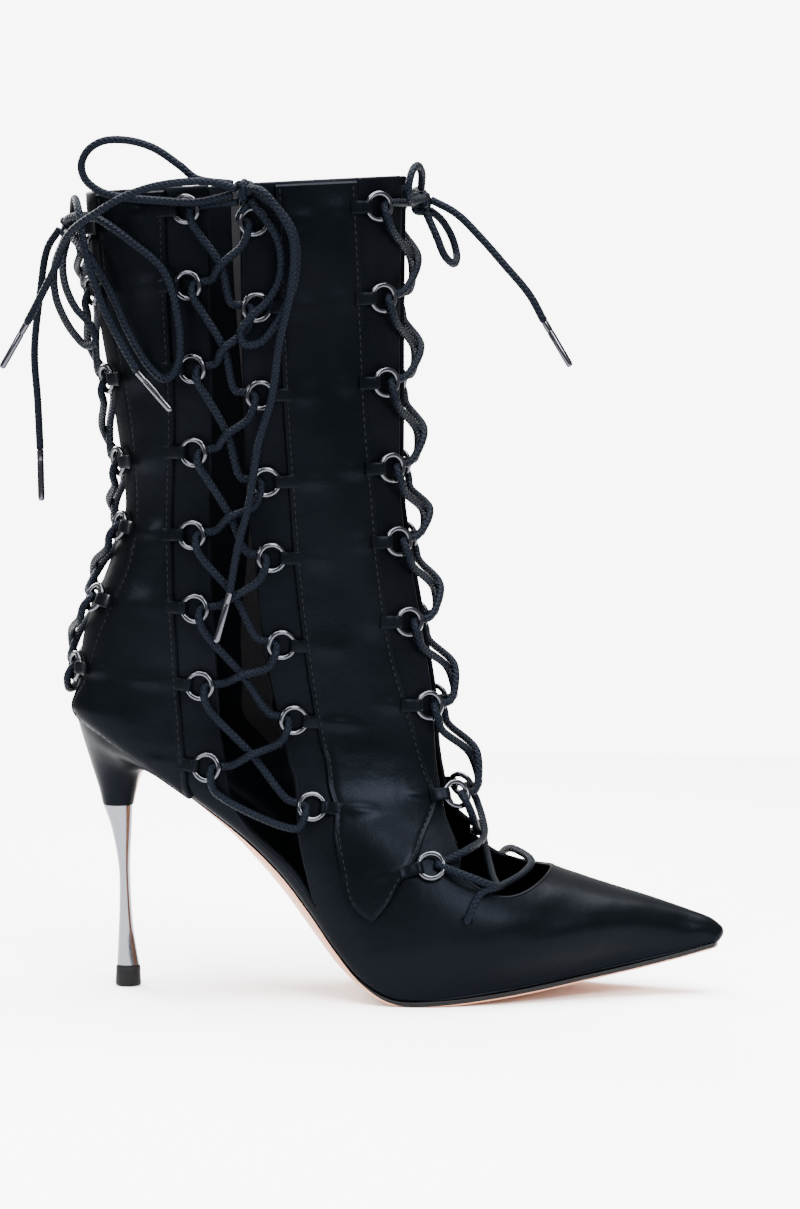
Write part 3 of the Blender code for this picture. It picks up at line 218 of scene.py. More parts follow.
def start_material(name: str, values: dict) -> tuple[bpy.types.Material, bpy.types.NodeTree, bpy.types.Node]:
    """Make a Principled material.

    Args:
        name: the material's name.
        values: values of the shader's own inputs, the same all over.

    Returns:
        The material, its tree and its shader.
    """
    made = bpy.data.materials.new(name)
    made.use_nodes = True
    shader = made.node_tree.nodes["Principled BSDF"]
    for key, value in values.items():
        shader.inputs[key].default_value = value
    return made, made.node_tree, shader


@dataclass(frozen=True)
class Leather:
    """Calf dyed through and polished: fine pebbled grain under a dull, slightly cool gloss."""

    name: str
    colour: str
    worn: str
    roughness: float
    grain: float = 0.9 * MM
    relief: float = 0.06 * MM
    gloss: float = 0.13
    ior: float = 1.22
    gloss_colour: str = "d0ddff"
    drift_scale: float = 26.0
    ripple_scale: float = 85.0
    ripple_depth: float = 0.6 * MM

    def make(self) -> bpy.types.Material:
        """Grain from cells about a pore apart, with noise; colour and gloss drift slowly."""
        made, tree, shader = start_material(self.name, {
            "Specular IOR Level": self.gloss, "IOR": self.ior, "Specular Tint": linear(self.gloss_colour)})
        place = {"Vector": add_node(tree, "TexCoord").outputs["Object"]}
        slow = add_node(tree, "TexNoise", {"Scale": self.drift_scale, "Detail": 3.0}, place)
        cells = add_node(tree, "TexVoronoi", {"Scale": 1 / self.grain, "Randomness": 1.0,
                                              "feature": "SMOOTH_F1", "Smoothness": 0.6}, place)
        pores = add_node(tree, "TexNoise", {"Scale": 0.45 / self.grain, "Detail": 5.0, "Roughness": 0.6},
                         place)
        wear = add_node(tree, "MapRange", dict(zip(RANGE, (0.35, 0.75, 0.0, 1.0))),
                        {"Value": slow.outputs["Fac"]})
        mix = add_node(tree, "Mix", {"data_type": "RGBA", 6: linear(self.colour), 7: linear(self.worn)},
                       {0: wear.outputs["Result"]})
        tree.links.new(mix.outputs[2], shader.inputs["Base Color"])
        rough = add_node(tree, "MapRange", dict(zip(RANGE, (0.3, 0.7, self.roughness - 0.03,
                                                            self.roughness + 0.05))),
                         {"Value": slow.outputs["Fac"]})
        tree.links.new(rough.outputs["Result"], shader.inputs["Roughness"])
        height = add_node(tree, "Math", {"operation": "ADD"},
                          {0: cells.outputs["Distance"], 1: pores.outputs["Fac"]})
        bump = add_node(tree, "Bump", {"Strength": 0.35, "Distance": self.relief},
                        {"Height": height.outputs[0]})
        ripple = add_node(tree, "TexNoise", {"Scale": self.ripple_scale, "Detail": 2.0}, place)
        soft = add_node(tree, "Bump", {"Strength": 0.5, "Distance": self.ripple_depth},
                        {"Height": ripple.outputs["Fac"], "Normal": bump.outputs["Normal"]})
        tree.links.new(soft.outputs["Normal"], shader.inputs["Normal"])
        return made


@dataclass(frozen=True)
class Metal:
    """Polished or plated metal, with faint unevenness that breaks up its reflections."""

    name: str
    colour: str
    roughness: float
    scale: float = 420.0

    def make(self) -> bpy.types.Material:
        """Roughness drifts with noise, and a very low bump softens the reflections."""
        made, tree, shader = start_material(self.name, {"Base Color": linear(self.colour), "Metallic": 1.0})
        place = add_node(tree, "TexCoord").outputs["Object"]
        noise = add_node(tree, "TexNoise", {"Scale": self.scale, "Detail": 4.0}, {"Vector": place})
        rough = add_node(tree, "MapRange", dict(zip(RANGE, (0.3, 0.7, self.roughness * 0.8,
                                                            self.roughness * 1.4))),
                         {"Value": noise.outputs["Fac"]})
        tree.links.new(rough.outputs["Result"], shader.inputs["Roughness"])
        bump = add_node(tree, "Bump", {"Strength": 0.08, "Distance": 0.05 * MM},
                        {"Height": noise.outputs["Fac"]})
        tree.links.new(bump.outputs["Normal"], shader.inputs["Normal"])
        return made


@dataclass(frozen=True)
class WaxedCord:
    """Waxed round braid: crossing helical strands with a low waxy gloss, and painted highlights on the
    strands' crests.
    """

    name: str
    colour: str
    # lit: the painted highlight colour of the braid's crests
    lit: str
    strands: float = 5.0
    gloss_colour: str = "b4c8f4"

    def make(self) -> bpy.types.Material:
        """Two families of helices on the cord's own map; the upper strand of each crossing gets a painted
        highlight, the hollows painted shade.
        """
        made, tree, shader = start_material(self.name, {
            "Roughness": 0.5, "IOR": 1.15, "Specular Tint": linear(self.gloss_colour)})
        spread = add_node(tree, "UVMap", {"uv_map": "UVMap"}).outputs["UV"]
        split = add_node(tree, "SeparateXYZ", None, {0: spread})
        waves = []
        for turn in (1.0, -1.0):
            total = add_node(tree, "Math", {"operation": "MULTIPLY_ADD", 1: self.strands * turn},
                             {0: split.outputs[1], 2: split.outputs[0]})
            angle = add_node(tree, "Math", {"operation": "MULTIPLY", 1: 2 * math.pi}, {0: total.outputs[0]})
            waves.append(add_node(tree, "Math", {"operation": "SINE"}, {0: angle.outputs[0]}).outputs[0])
        top = add_node(tree, "Math", {"operation": "MAXIMUM"}, dict(enumerate(waves))).outputs[0]
        # Painted light: the braid's crests take the lighter colour as a painted highlight, its hollows the
        # darker colour as painted shade
        share = add_node(tree, "MapRange", dict(zip(RANGE, (-0.6, 1.0, 0.0, 1.0))), {"Value": top})
        mix = add_node(tree, "Mix", {"data_type": "RGBA", 6: linear(self.colour), 7: linear(self.lit)},
                       {0: share.outputs["Result"]})
        tree.links.new(mix.outputs[2], shader.inputs["Base Color"])
        bump = add_node(tree, "Bump", {"Strength": 0.7, "Distance": 0.22 * MM}, {"Height": top})
        tree.links.new(bump.outputs["Normal"], shader.inputs["Normal"])
        return made


@dataclass(frozen=True)
class Plain:
    """Matt solid such as moulded rubber, sewing thread, woven tape or edge ink."""

    name: str
    colour: str
    lit: str
    roughness: float
    grain: float = 0.5 * MM
    relief: float = 0.05 * MM

    def make(self) -> bpy.types.Material:
        """Fine noise in colour and height, at the grain's size."""
        made, tree, shader = start_material(self.name, {"Roughness": self.roughness, "IOR": 1.2})
        place = add_node(tree, "TexCoord").outputs["Object"]
        noise = add_node(tree, "TexNoise", {"Scale": 1 / self.grain, "Detail": 3.0}, {"Vector": place})
        share = add_node(tree, "MapRange", dict(zip(RANGE, (0.3, 0.7, 0.0, 1.0))),
                         {"Value": noise.outputs["Fac"]})
        mix = add_node(tree, "Mix", {"data_type": "RGBA", 6: linear(self.colour), 7: linear(self.lit)},
                       {0: share.outputs["Result"]})
        tree.links.new(mix.outputs[2], shader.inputs["Base Color"])
        bump = add_node(tree, "Bump", {"Strength": 0.4, "Distance": self.relief},
                        {"Height": noise.outputs["Fac"]})
        tree.links.new(bump.outputs["Normal"], shader.inputs["Normal"])
        return made


def finish(kind: type, *values: str | float, **more: str | float) -> field:
    """Dataclass field that makes its material when the finishes are made."""
    return field(default_factory=lambda: kind(*values, **more).make())


@dataclass
class Finishes:
    """Every finish of the boot, made once."""

    leather: bpy.types.Material = finish(Leather, "black_calf_leather", "020304", "050608", 0.34)
    overlay: bpy.types.Material = finish(Leather, "black_calf_overlay", "020304", "050608", 0.31)
    lining: bpy.types.Material = finish(Leather, "black_pigskin_lining", "131316", "1c1b1d", 0.62,
                                        grain=1.3 * MM)
    nude: bpy.types.Material = finish(Leather, "nude_sole_leather", "b98468", "ad7a5f", 0.45, grain=0.7 * MM,
                                      relief=0.03 * MM, gloss=0.5, ior=1.4, gloss_colour="ffffff")
    edge: bpy.types.Material = finish(Plain, "black_edge_ink", "060607", "0c0c0e", 0.45)
    rubber: bpy.types.Material = finish(Plain, "black_heel_tip_rubber", "060607", "0b0b0d", 0.6)
    thread: bpy.types.Material = finish(Plain, "black_waxed_thread", "030405", "08090b", 0.6, grain=0.3 * MM)
    tape: bpy.types.Material = finish(Plain, "black_zip_tape", "0e0e10", "19191c", 0.8, grain=0.35 * MM,
                                      relief=0.1 * MM)
    chrome: bpy.types.Material = finish(Metal, "chromed_steel", "5b5c61", 0.08)
    ring: bpy.types.Material = finish(Metal, "gunmetal_plated_ring", "3a3b40", 0.15)
    # The cord's second colour is the painted highlight on its braid's crests
    cord: bpy.types.Material = finish(WaxedCord, "waxed_braided_cord", "020305", "07090d")


class Last:
    """The boot's last: a fan of closed sections, read between the rows of its table."""

    @staticmethod
    def blend(table: np.ndarray, place: np.ndarray) -> np.ndarray:
        """Read a table between its rows on a smooth curve (Catmull-Rom).

        Args:
            table: one row for each section.
            place: fractional rows, in any shape.

        Returns:
            Values in the shape of place, with the table's columns last.
        """
        place = np.asarray(place, float)
        last = len(table) - 1
        i = np.clip(place.astype(int), 0, last - 1)
        t = (place - i)[..., None]
        before, here = table[np.maximum(i - 1, 0)], table[i]
        after, beyond = table[i + 1], table[np.minimum(i + 2, last)]
        return 0.5 * (2 * here + (after - before) * t + (2 * before - 5 * here + 4 * after - beyond) * t ** 2
                      + (3 * here - before - 3 * after + beyond) * t ** 3)

    def ends(self, place: np.ndarray) -> tuple[np.ndarray, np.ndarray]:
        """Low and top end of the sections' middle lines, as x and z."""
        r = self.blend(SECTIONS, place)
        rise = HEEL_HEIGHT - LAST_BASE
        drop = TOE_DROP * np.clip((np.asarray(place, float) - BALL_ROW) / (TOE_ROW - BALL_ROW), 0, 1)
        low = np.stack([FOOT_LENGTH * r[..., 0] - HEEL_SETBACK,
                        LAST_BASE + rise * r[..., 1] + SHAFT_HEIGHT * r[..., 2] + TOE_SPRING * r[..., 7]
                        - drop], -1)
        top = np.stack([FOOT_LENGTH * r[..., 3] - HEEL_SETBACK,
                        HEEL_HEIGHT * r[..., 4] + SHAFT_HEIGHT * r[..., 5] + VAMP_HEIGHT * r[..., 6]
                        + TOE_SPRING * r[..., 7]], -1)
        return low, top

    def section(self, place: np.ndarray, offset: float = 0.0) -> tuple[np.ndarray, ...]:
        """Sections at fractional rows, grown by an offset.

        Args:
            place: fractional rows.
            offset: growth in metres; the ends move along the profile's normals.

        Returns:
            Low end, top end, half width, feather, low and top swing, widest share, roundness.
        """
        place = np.asarray(place, float)
        r = self.blend(SECTIONS, place)
        low, top = self.ends(place)
        ahead, behind = self.ends(np.minimum(place + 0.05, TIP_ROW)), self.ends(np.maximum(place - 0.05, 0))
        moved = []
        for here, after, before, inwards in zip((low, top), ahead, behind, (top - low, low - top)):
            tangent = unit(after - before)
            normal = np.stack([-tangent[..., 1], tangent[..., 0]], -1)
            moved.append(here - normal * np.sign((normal * inwards).sum(-1, keepdims=True)) * offset)
        half = (COLLAR_WIDTH * r[..., 10] + HEEL_WIDTH * r[..., 11] + BALL_WIDTH * r[..., 12]) / 2
        swing = r[..., 8:10] * BALL_WIDTH / 2
        return moved[0], moved[1], half + offset, half * r[..., 13] + offset, swing, r[..., 14], r[..., 15]

    def point(self, place: np.ndarray, share: np.ndarray, side: np.ndarray,
              offset: float = 0.0) -> np.ndarray:
        """Points of the last a share of the way up its sections' sides.

        The half width grows from the feather's to the widest on a superellipse, then closes to
        nothing on an ellipse. A share below 0 runs across the flat bottom, to its middle at -1.

        Args:
            place: fractional rows.
            share: shares of the way up.
            side: sign of y.
            offset: growth of the sections.

        Returns:
            Points, with x, y and z last.
        """
        place, share, side = np.broadcast_arrays(np.asarray(place, float), np.asarray(share, float), side)
        low, top, half, feather, swing, widest, roundness = self.section(place, offset)
        flat = np.clip(1 + share, 0, 1)
        share = np.clip(share, 0, 1)
        fill = (1 - np.clip(1 - share / widest, 0, 1) ** roundness) ** (1 / roundness)
        lower = feather * flat + (half - feather) * fill
        upper = half * np.sqrt(np.clip(1 - ((share - widest) / (1 - widest)) ** 2, 0, 1))
        reach = np.where(share < widest, lower, upper)
        xz = low + (top - low) * share[..., None]
        y = swing[..., 0] + (swing[..., 1] - swing[..., 0]) * share + side * reach
        return np.stack([xz[..., 0], y, xz[..., 1]], -1)

    def angle_of(self, place: np.ndarray, share: np.ndarray) -> np.ndarray:
        """Angle from 0 to 1 that spreads shares evenly round a section's flank."""
        r = self.blend(SECTIONS, place)
        widest, roundness = r[..., 14], r[..., 15]
        low = np.arccos(np.clip(1 - np.clip(share, 0, None) / widest, 0, 1) ** (roundness / 2)) / np.pi
        high = 0.5 + np.arcsin(np.clip((share - widest) / (1 - widest), 0, 1)) / np.pi
        return np.where(share < widest, low, high)

    def share_of(self, place: np.ndarray, angle: np.ndarray) -> np.ndarray:
        """Share at an angle from 0 to 1, the opposite of angle_of; below 0 stays as it is."""
        r = self.blend(SECTIONS, place)
        widest, roundness = r[..., 14], r[..., 15]
        low = widest * (1 - np.clip(np.cos(np.pi * np.clip(angle, 0, .5)), 0, 1) ** (2 / roundness))
        high = widest + (1 - widest) * np.sin(np.pi * (np.clip(angle, .5, 1) - 0.5))
        return np.where(angle < 0, angle, np.where(angle < 0.5, low, high))

    def normal(self, place: np.ndarray, share: np.ndarray, side: np.ndarray) -> np.ndarray:
        """Unit normals of the flank, from differences along and across the sections."""
        place, share, side = np.broadcast_arrays(np.asarray(place, float), np.asarray(share, float), side)
        step = 0.02
        run = self.point(np.minimum(place + step, TIP_ROW), share, side) - self.point(
            np.maximum(place - step, 0), share, side)
        climb = self.point(place, np.clip(share + step, 0, 0.999), side) - self.point(
            place, np.clip(share - step, 0.0005, 1), side)
        normal = unit(np.cross(run, climb))
        return normal * np.where(normal[..., 1] * side < 0, -1, 1)[..., None]

    def surface(self, place: np.ndarray, share: np.ndarray, side: np.ndarray,
                height: np.ndarray) -> np.ndarray:
        """Points at a height off the flank, along its normal."""
        out = self.normal(place, share, side) * np.asarray(height)[..., None]
        return self.point(place, share, side) + out

    def beside(self, place: np.ndarray, share: np.ndarray, side: float,
               distance: np.ndarray) -> np.ndarray:
        """Shares that lie a distance along the flank from other shares, + to the front or top.

        The distance is walked in eight steps of angle, each by the flank's local stretch.
        """
        place = np.asarray(place, float)
        angle = self.angle_of(place, share) + np.zeros_like(distance)
        for _ in range(8):
            here = self.point(place, self.share_of(place, angle), side)
            ahead = self.point(place, self.share_of(place, angle + 0.005), side)
            angle = angle + distance / 8 * 0.005 / np.linalg.norm(ahead - here, axis=-1)
        return self.share_of(place, np.clip(angle, 0.001, 0.999))

    def edge(self, edge: Edge, place: np.ndarray) -> np.ndarray:
        """Shares of a panel edge at fractional rows."""
        return self.blend(EDGES, np.minimum(place, len(EDGES) - 1))[..., edge.value]

    def frames(self, place: np.ndarray, share: np.ndarray, side: float,
               lift: float) -> tuple[np.ndarray, np.ndarray]:
        """Frames on the flank: x to the front along the section, z outwards.

        Args:
            place: fractional rows.
            share: shares of the way up.
            side: sign of y.
            lift: height of the origins off the flank.

        Returns:
            Origins, and 3 by 3 matrices with the axes as columns.
        """
        z = self.normal(place, share, side)
        origin = self.point(place, share, side) + z * lift
        x = self.point(place, np.minimum(share + 0.02, 0.999), side) - self.point(
            place, np.maximum(share - 0.02, 0.001), side)
        x = unit(x - z * (x * z).sum(-1, keepdims=True))
        return origin, np.stack([x, np.cross(z, x), z], -1)

    def trace(self, targets: np.ndarray, axes: tuple[int, int], places: tuple[float, float],
              angles: tuple[float, float]) -> tuple[np.ndarray, np.ndarray, np.ndarray]:
        """Find where on the flanks points lie whose two coordinates are known.

        The flank is sampled on a grid of rows and angles, the nearest sample is taken, and a
        finer grid round it is sampled again.

        Args:
            targets: the two known coordinates of each point.
            axes: which coordinates they are.
            places: range of rows to search.
            angles: range of angles to search.

        Returns:
            Rows, shares and sides of the points.
        """
        side = np.where(targets[:, axes.index(1)] < 0, -1.0, 1.0)
        centre = np.array([sum(places) / 2, sum(angles) / 2])
        middle = np.repeat(centre[None], len(targets), 0)
        reach = np.array([(places[1] - places[0]) / 2, (angles[1] - angles[0]) / 2])
        steps = np.linspace(-1, 1, 41)
        for _ in range(4):
            place = np.clip(middle[:, None, None, 0] + reach[0] * steps[:, None], *places)
            angle = np.clip(middle[:, None, None, 1] + reach[1] * steps, *angles)
            place, angle = np.broadcast_arrays(place, angle)
            found = self.point(place, self.share_of(place, angle), side[:, None, None])[..., list(axes)]
            miss = np.linalg.norm(found - targets[:, None, None], axis=-1).reshape(len(targets), -1)
            best = miss.argmin(1)
            rows = np.arange(len(targets))
            middle = np.stack([place.reshape(len(targets), -1)[rows, best],
                               angle.reshape(len(targets), -1)[rows, best]], -1)
            reach = reach * 0.12
        return middle[:, 0], self.share_of(middle[:, 0], middle[:, 1]), side


LAST = Last()


def lace_hole(side: Side, lift: float = 0.0) -> tuple[np.ndarray, np.ndarray]:
    """Origin and axes of the hole where the vamp's lace goes in on one side."""
    origin, axes = LAST.frames(np.array([LACE_HOLE[0]]), np.array([LACE_HOLE[1]]), side.value, lift)
    return origin[0], axes[0]


@dataclass
class Patch:
    """A grid of points with its own map and material slot."""

    points: np.ndarray
    uv: np.ndarray | None = None
    slot: int = 0


def make_piece(name: str, patches: list[Patch], materials: list[bpy.types.Material],
               sharp: float = 40.0, weld: float = 2e-6) -> bpy.types.Object:
    """Put grids into one mesh; coinciding points are merged, which closes seams and poles.

    Args:
        name: the piece's name.
        patches: grids of points, rows by columns.
        materials: one for each slot.
        sharp: angle in degrees past which an edge stays sharp.
        weld: distance under which points merge.

    Returns:
        The object, at the origin.
    """
    points, faces, maps, slots, start = [], [], [], [], 0
    for patch in patches:
        rows, columns = patch.points.shape[:2]
        index = start + np.arange(rows * columns).reshape(rows, columns)
        quads = np.stack([index[:-1, :-1], index[:-1, 1:], index[1:, 1:], index[1:, :-1]], -1).reshape(-1, 4)
        uv = patch.uv
        if uv is None:
            uv = np.stack(np.meshgrid(np.arange(rows), np.arange(columns), indexing="ij"), -1).astype(float)
        flat = uv.reshape(-1, 2)
        points.append(patch.points.reshape(-1, 3))
        faces.append(quads)
        maps.append(flat[quads - start].reshape(-1, 2))
        slots.append(np.full(len(quads), patch.slot))
        start += rows * columns
    mesh = bpy.data.meshes.new(name)
    mesh.from_pydata(np.concatenate(points).tolist(), [], np.concatenate(faces).tolist())
    layer = mesh.uv_layers.new(name="UVMap")
    layer.data.foreach_set("uv", np.concatenate(maps).astype(np.float32).ravel())
    mesh.polygons.foreach_set("material_index", np.concatenate(slots).astype(np.int32))
    shape = bmesh.new()
    shape.from_mesh(mesh)
    bmesh.ops.remove_doubles(shape, verts=shape.verts, dist=weld)
    bmesh.ops.delete(shape, geom=[e for e in shape.edges if not e.link_faces], context="EDGES")
    bmesh.ops.recalc_face_normals(shape, faces=shape.faces)
    shape.to_mesh(mesh)
    shape.free()
    return add_piece(name, mesh, materials, sharp)


def add_piece(name: str, mesh: bpy.types.Mesh, materials: list[bpy.types.Material],
              sharp: float = 40.0) -> bpy.types.Object:
    """Add a mesh as a piece with its materials, smooth up to an angle.

    Args:
        name: the piece's name.
        mesh: its mesh.
        materials: one for each slot.
        sharp: angle in degrees past which an edge stays sharp.

    Returns:
        The object.
    """
    mesh.shade_smooth()
    mesh.set_sharp_from_angle(angle=math.radians(sharp))
    for material in materials:
        mesh.materials.append(material)
    obj = bpy.data.objects.new(name, mesh)
    bpy.context.scene.collection.objects.link(obj)
    return obj


def settle(obj: bpy.types.Object, nodes: tuple[str, ...] = ()) -> bpy.types.Object:
    """Let a piece ride on the boot and the nodes that it stands for."""
    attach(obj, "boot")
    if nodes:
        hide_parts(*nodes)
    LOG.info("%s: %d faces", obj.name, len(obj.data.polygons))
    return obj


def smooth_path(points: np.ndarray, step: float) -> np.ndarray:
    """Evenly spaced points on a smooth curve through given points.

    Each span is a cubic whose end slopes weigh the spans beside it by the square root of their
    length, which keeps short spans free of loops.

    Args:
        points: the points to pass.
        step: distance between the new points.

    Returns:
        The new points.
    """
    gap = np.sqrt(np.linalg.norm(np.diff(points, axis=0), axis=1) + 1e-9)[:, None]
    slope = np.diff(points, axis=0) / gap
    inner = (slope[:-1] * gap[1:] + slope[1:] * gap[:-1]) / (gap[:-1] + gap[1:])
    slopes = np.concatenate([slope[:1], inner, slope[-1:]])
    t = spaced(0, 1, 17)[None, :-1, None]
    start, end = points[:-1, None], points[1:, None]
    leave, arrive = (slopes[:-1] * gap)[:, None], (slopes[1:] * gap)[:, None]
    dense = ((2 * t ** 3 - 3 * t ** 2 + 1) * start + (t ** 3 - 2 * t ** 2 + t) * leave
             + (3 * t ** 2 - 2 * t ** 3) * end + (t ** 3 - t ** 2) * arrive)
    dense = np.concatenate([dense.reshape(-1, 3), points[-1:]])
    travelled = travel(dense)
    marks = spaced(0, travelled[-1], max(3, int(round(travelled[-1] / step)) + 1))
    return read_along(marks, travelled, dense)


def travel(path: np.ndarray) -> np.ndarray:
    """Distance travelled along a path at each of its points."""
    return np.concatenate([[0], np.cumsum(np.linalg.norm(np.diff(path, axis=0), axis=1))])


def read_along(marks: np.ndarray, travelled: np.ndarray, path: np.ndarray) -> np.ndarray:
    """Points of a path at marks of the distance travelled."""
    return np.stack([np.interp(marks, travelled, path[:, k]) for k in range(3)], -1)


def unit(vectors: np.ndarray) -> np.ndarray:
    """Vectors scaled to length 1."""
    return vectors / (np.linalg.norm(vectors, axis=-1, keepdims=True) + 1e-12)


def axes_along(z: np.ndarray, out: np.ndarray) -> np.ndarray:
    """Axes as columns: z as given, y as near as can be to an outward direction."""
    x = unit(np.cross(out, z))
    return np.stack([x, np.cross(z, x), z], -1)


def softened(values: np.ndarray, power: float) -> np.ndarray:
    """Values raised to a power, with their signs kept: makes superellipses of circles."""
    return np.sign(values) * np.abs(values) ** power


def path_frames(path: np.ndarray) -> tuple[np.ndarray, np.ndarray]:
    """Two unit vectors across a path at each point, carried along it without twist.

    Each step turns the pair by the least turn from one tangent to the next.
    """
    tangent = unit(np.gradient(path, axis=0))
    pairs = [unit(np.cross(tangent[0], ASKEW))]
    for here in tangent[1:]:
        pairs.append(unit(pairs[-1] - here * (pairs[-1] @ here)))
    first = np.array(pairs)
    return first, np.cross(tangent, first)


def tube(path: np.ndarray, radius: np.ndarray | float, sides: int = 12, pitch: float = 0.0019,
         closed_ends: bool = True) -> Patch:
    """Round tube along a path: a circle carried along it, with domed ends.

    Args:
        path: its centreline.
        radius: one radius, or one for each point.
        sides: points round it.
        pitch: length of one turn of the map along it.
        closed_ends: close the ends with small domes.

    Returns:
        The tube as a grid, with the map along and round it.
    """
    first, second = path_frames(path)
    radius = np.broadcast_to(np.asarray(radius, float), (len(path),)).copy()
    travelled = travel(path)
    if closed_ends:
        ahead, behind = unit(path[1] - path[0]), unit(path[-1] - path[-2])
        out, scale = np.array([.35, .3, .15])[:, None], np.array([0, .55, .88])
        path = np.concatenate([path[0] - ahead * radius[0] * out, path,
                               path[-1] + behind * radius[-1] * out[::-1]])
        first, second = (np.concatenate([np.repeat(pair[:1], 3, 0), pair, np.repeat(pair[-1:], 3, 0)])
                         for pair in (first, second))
        travelled = np.concatenate([np.zeros(3), travelled, np.full(3, travelled[-1])])
        radius = np.concatenate([radius[0] * scale, radius, radius[-1] * scale[::-1]])
    turn = np.linspace(0, 1, sides + 1)
    circle = (np.cos(2 * np.pi * turn)[None, :, None] * first[:, None]
              + np.sin(2 * np.pi * turn)[None, :, None] * second[:, None])
    points = path[:, None] + circle * radius[:, None, None]
    uv = np.stack(np.broadcast_arrays(travelled[:, None] / pitch, turn[None]), -1)
    return Patch(points, uv)


def lathe(profile: np.ndarray, sides: int = 32) -> np.ndarray:
    """Turn a profile of radius and height round the z axis into a grid of points."""
    turn = np.linspace(0, 2 * np.pi, sides + 1)
    return np.stack([profile[:, :1] * np.cos(turn), profile[:, :1] * np.sin(turn),
                     np.repeat(profile[:, 1:], sides + 1, 1)], -1)


def capped(ring: np.ndarray) -> np.ndarray:
    """Add a pole before the first and after the last row of a grid, so that it closes."""
    start, end = ring[:1].mean(1, keepdims=True), ring[-1:].mean(1, keepdims=True)
    width = ring.shape[1]
    return np.concatenate([np.repeat(start, width, 1), ring, np.repeat(end, width, 1)])
def plate_between(top: np.ndarray, under: np.ndarray) -> Patch:
    """Closed plate between two grids of the same size."""
    return Patch(capped(np.concatenate([top, under[:, ::-1], top[:, :1]], 1)))

def placed(points: np.ndarray, origin: np.ndarray, axes: np.ndarray) -> np.ndarray:
    """Move a grid from its own frame to an origin and axes given as columns."""
    return points @ axes.T + origin


def spaced(start: float, end: float, count: int) -> np.ndarray:
    """Evenly spread numbers from start to end."""
    return np.linspace(start, end, count)


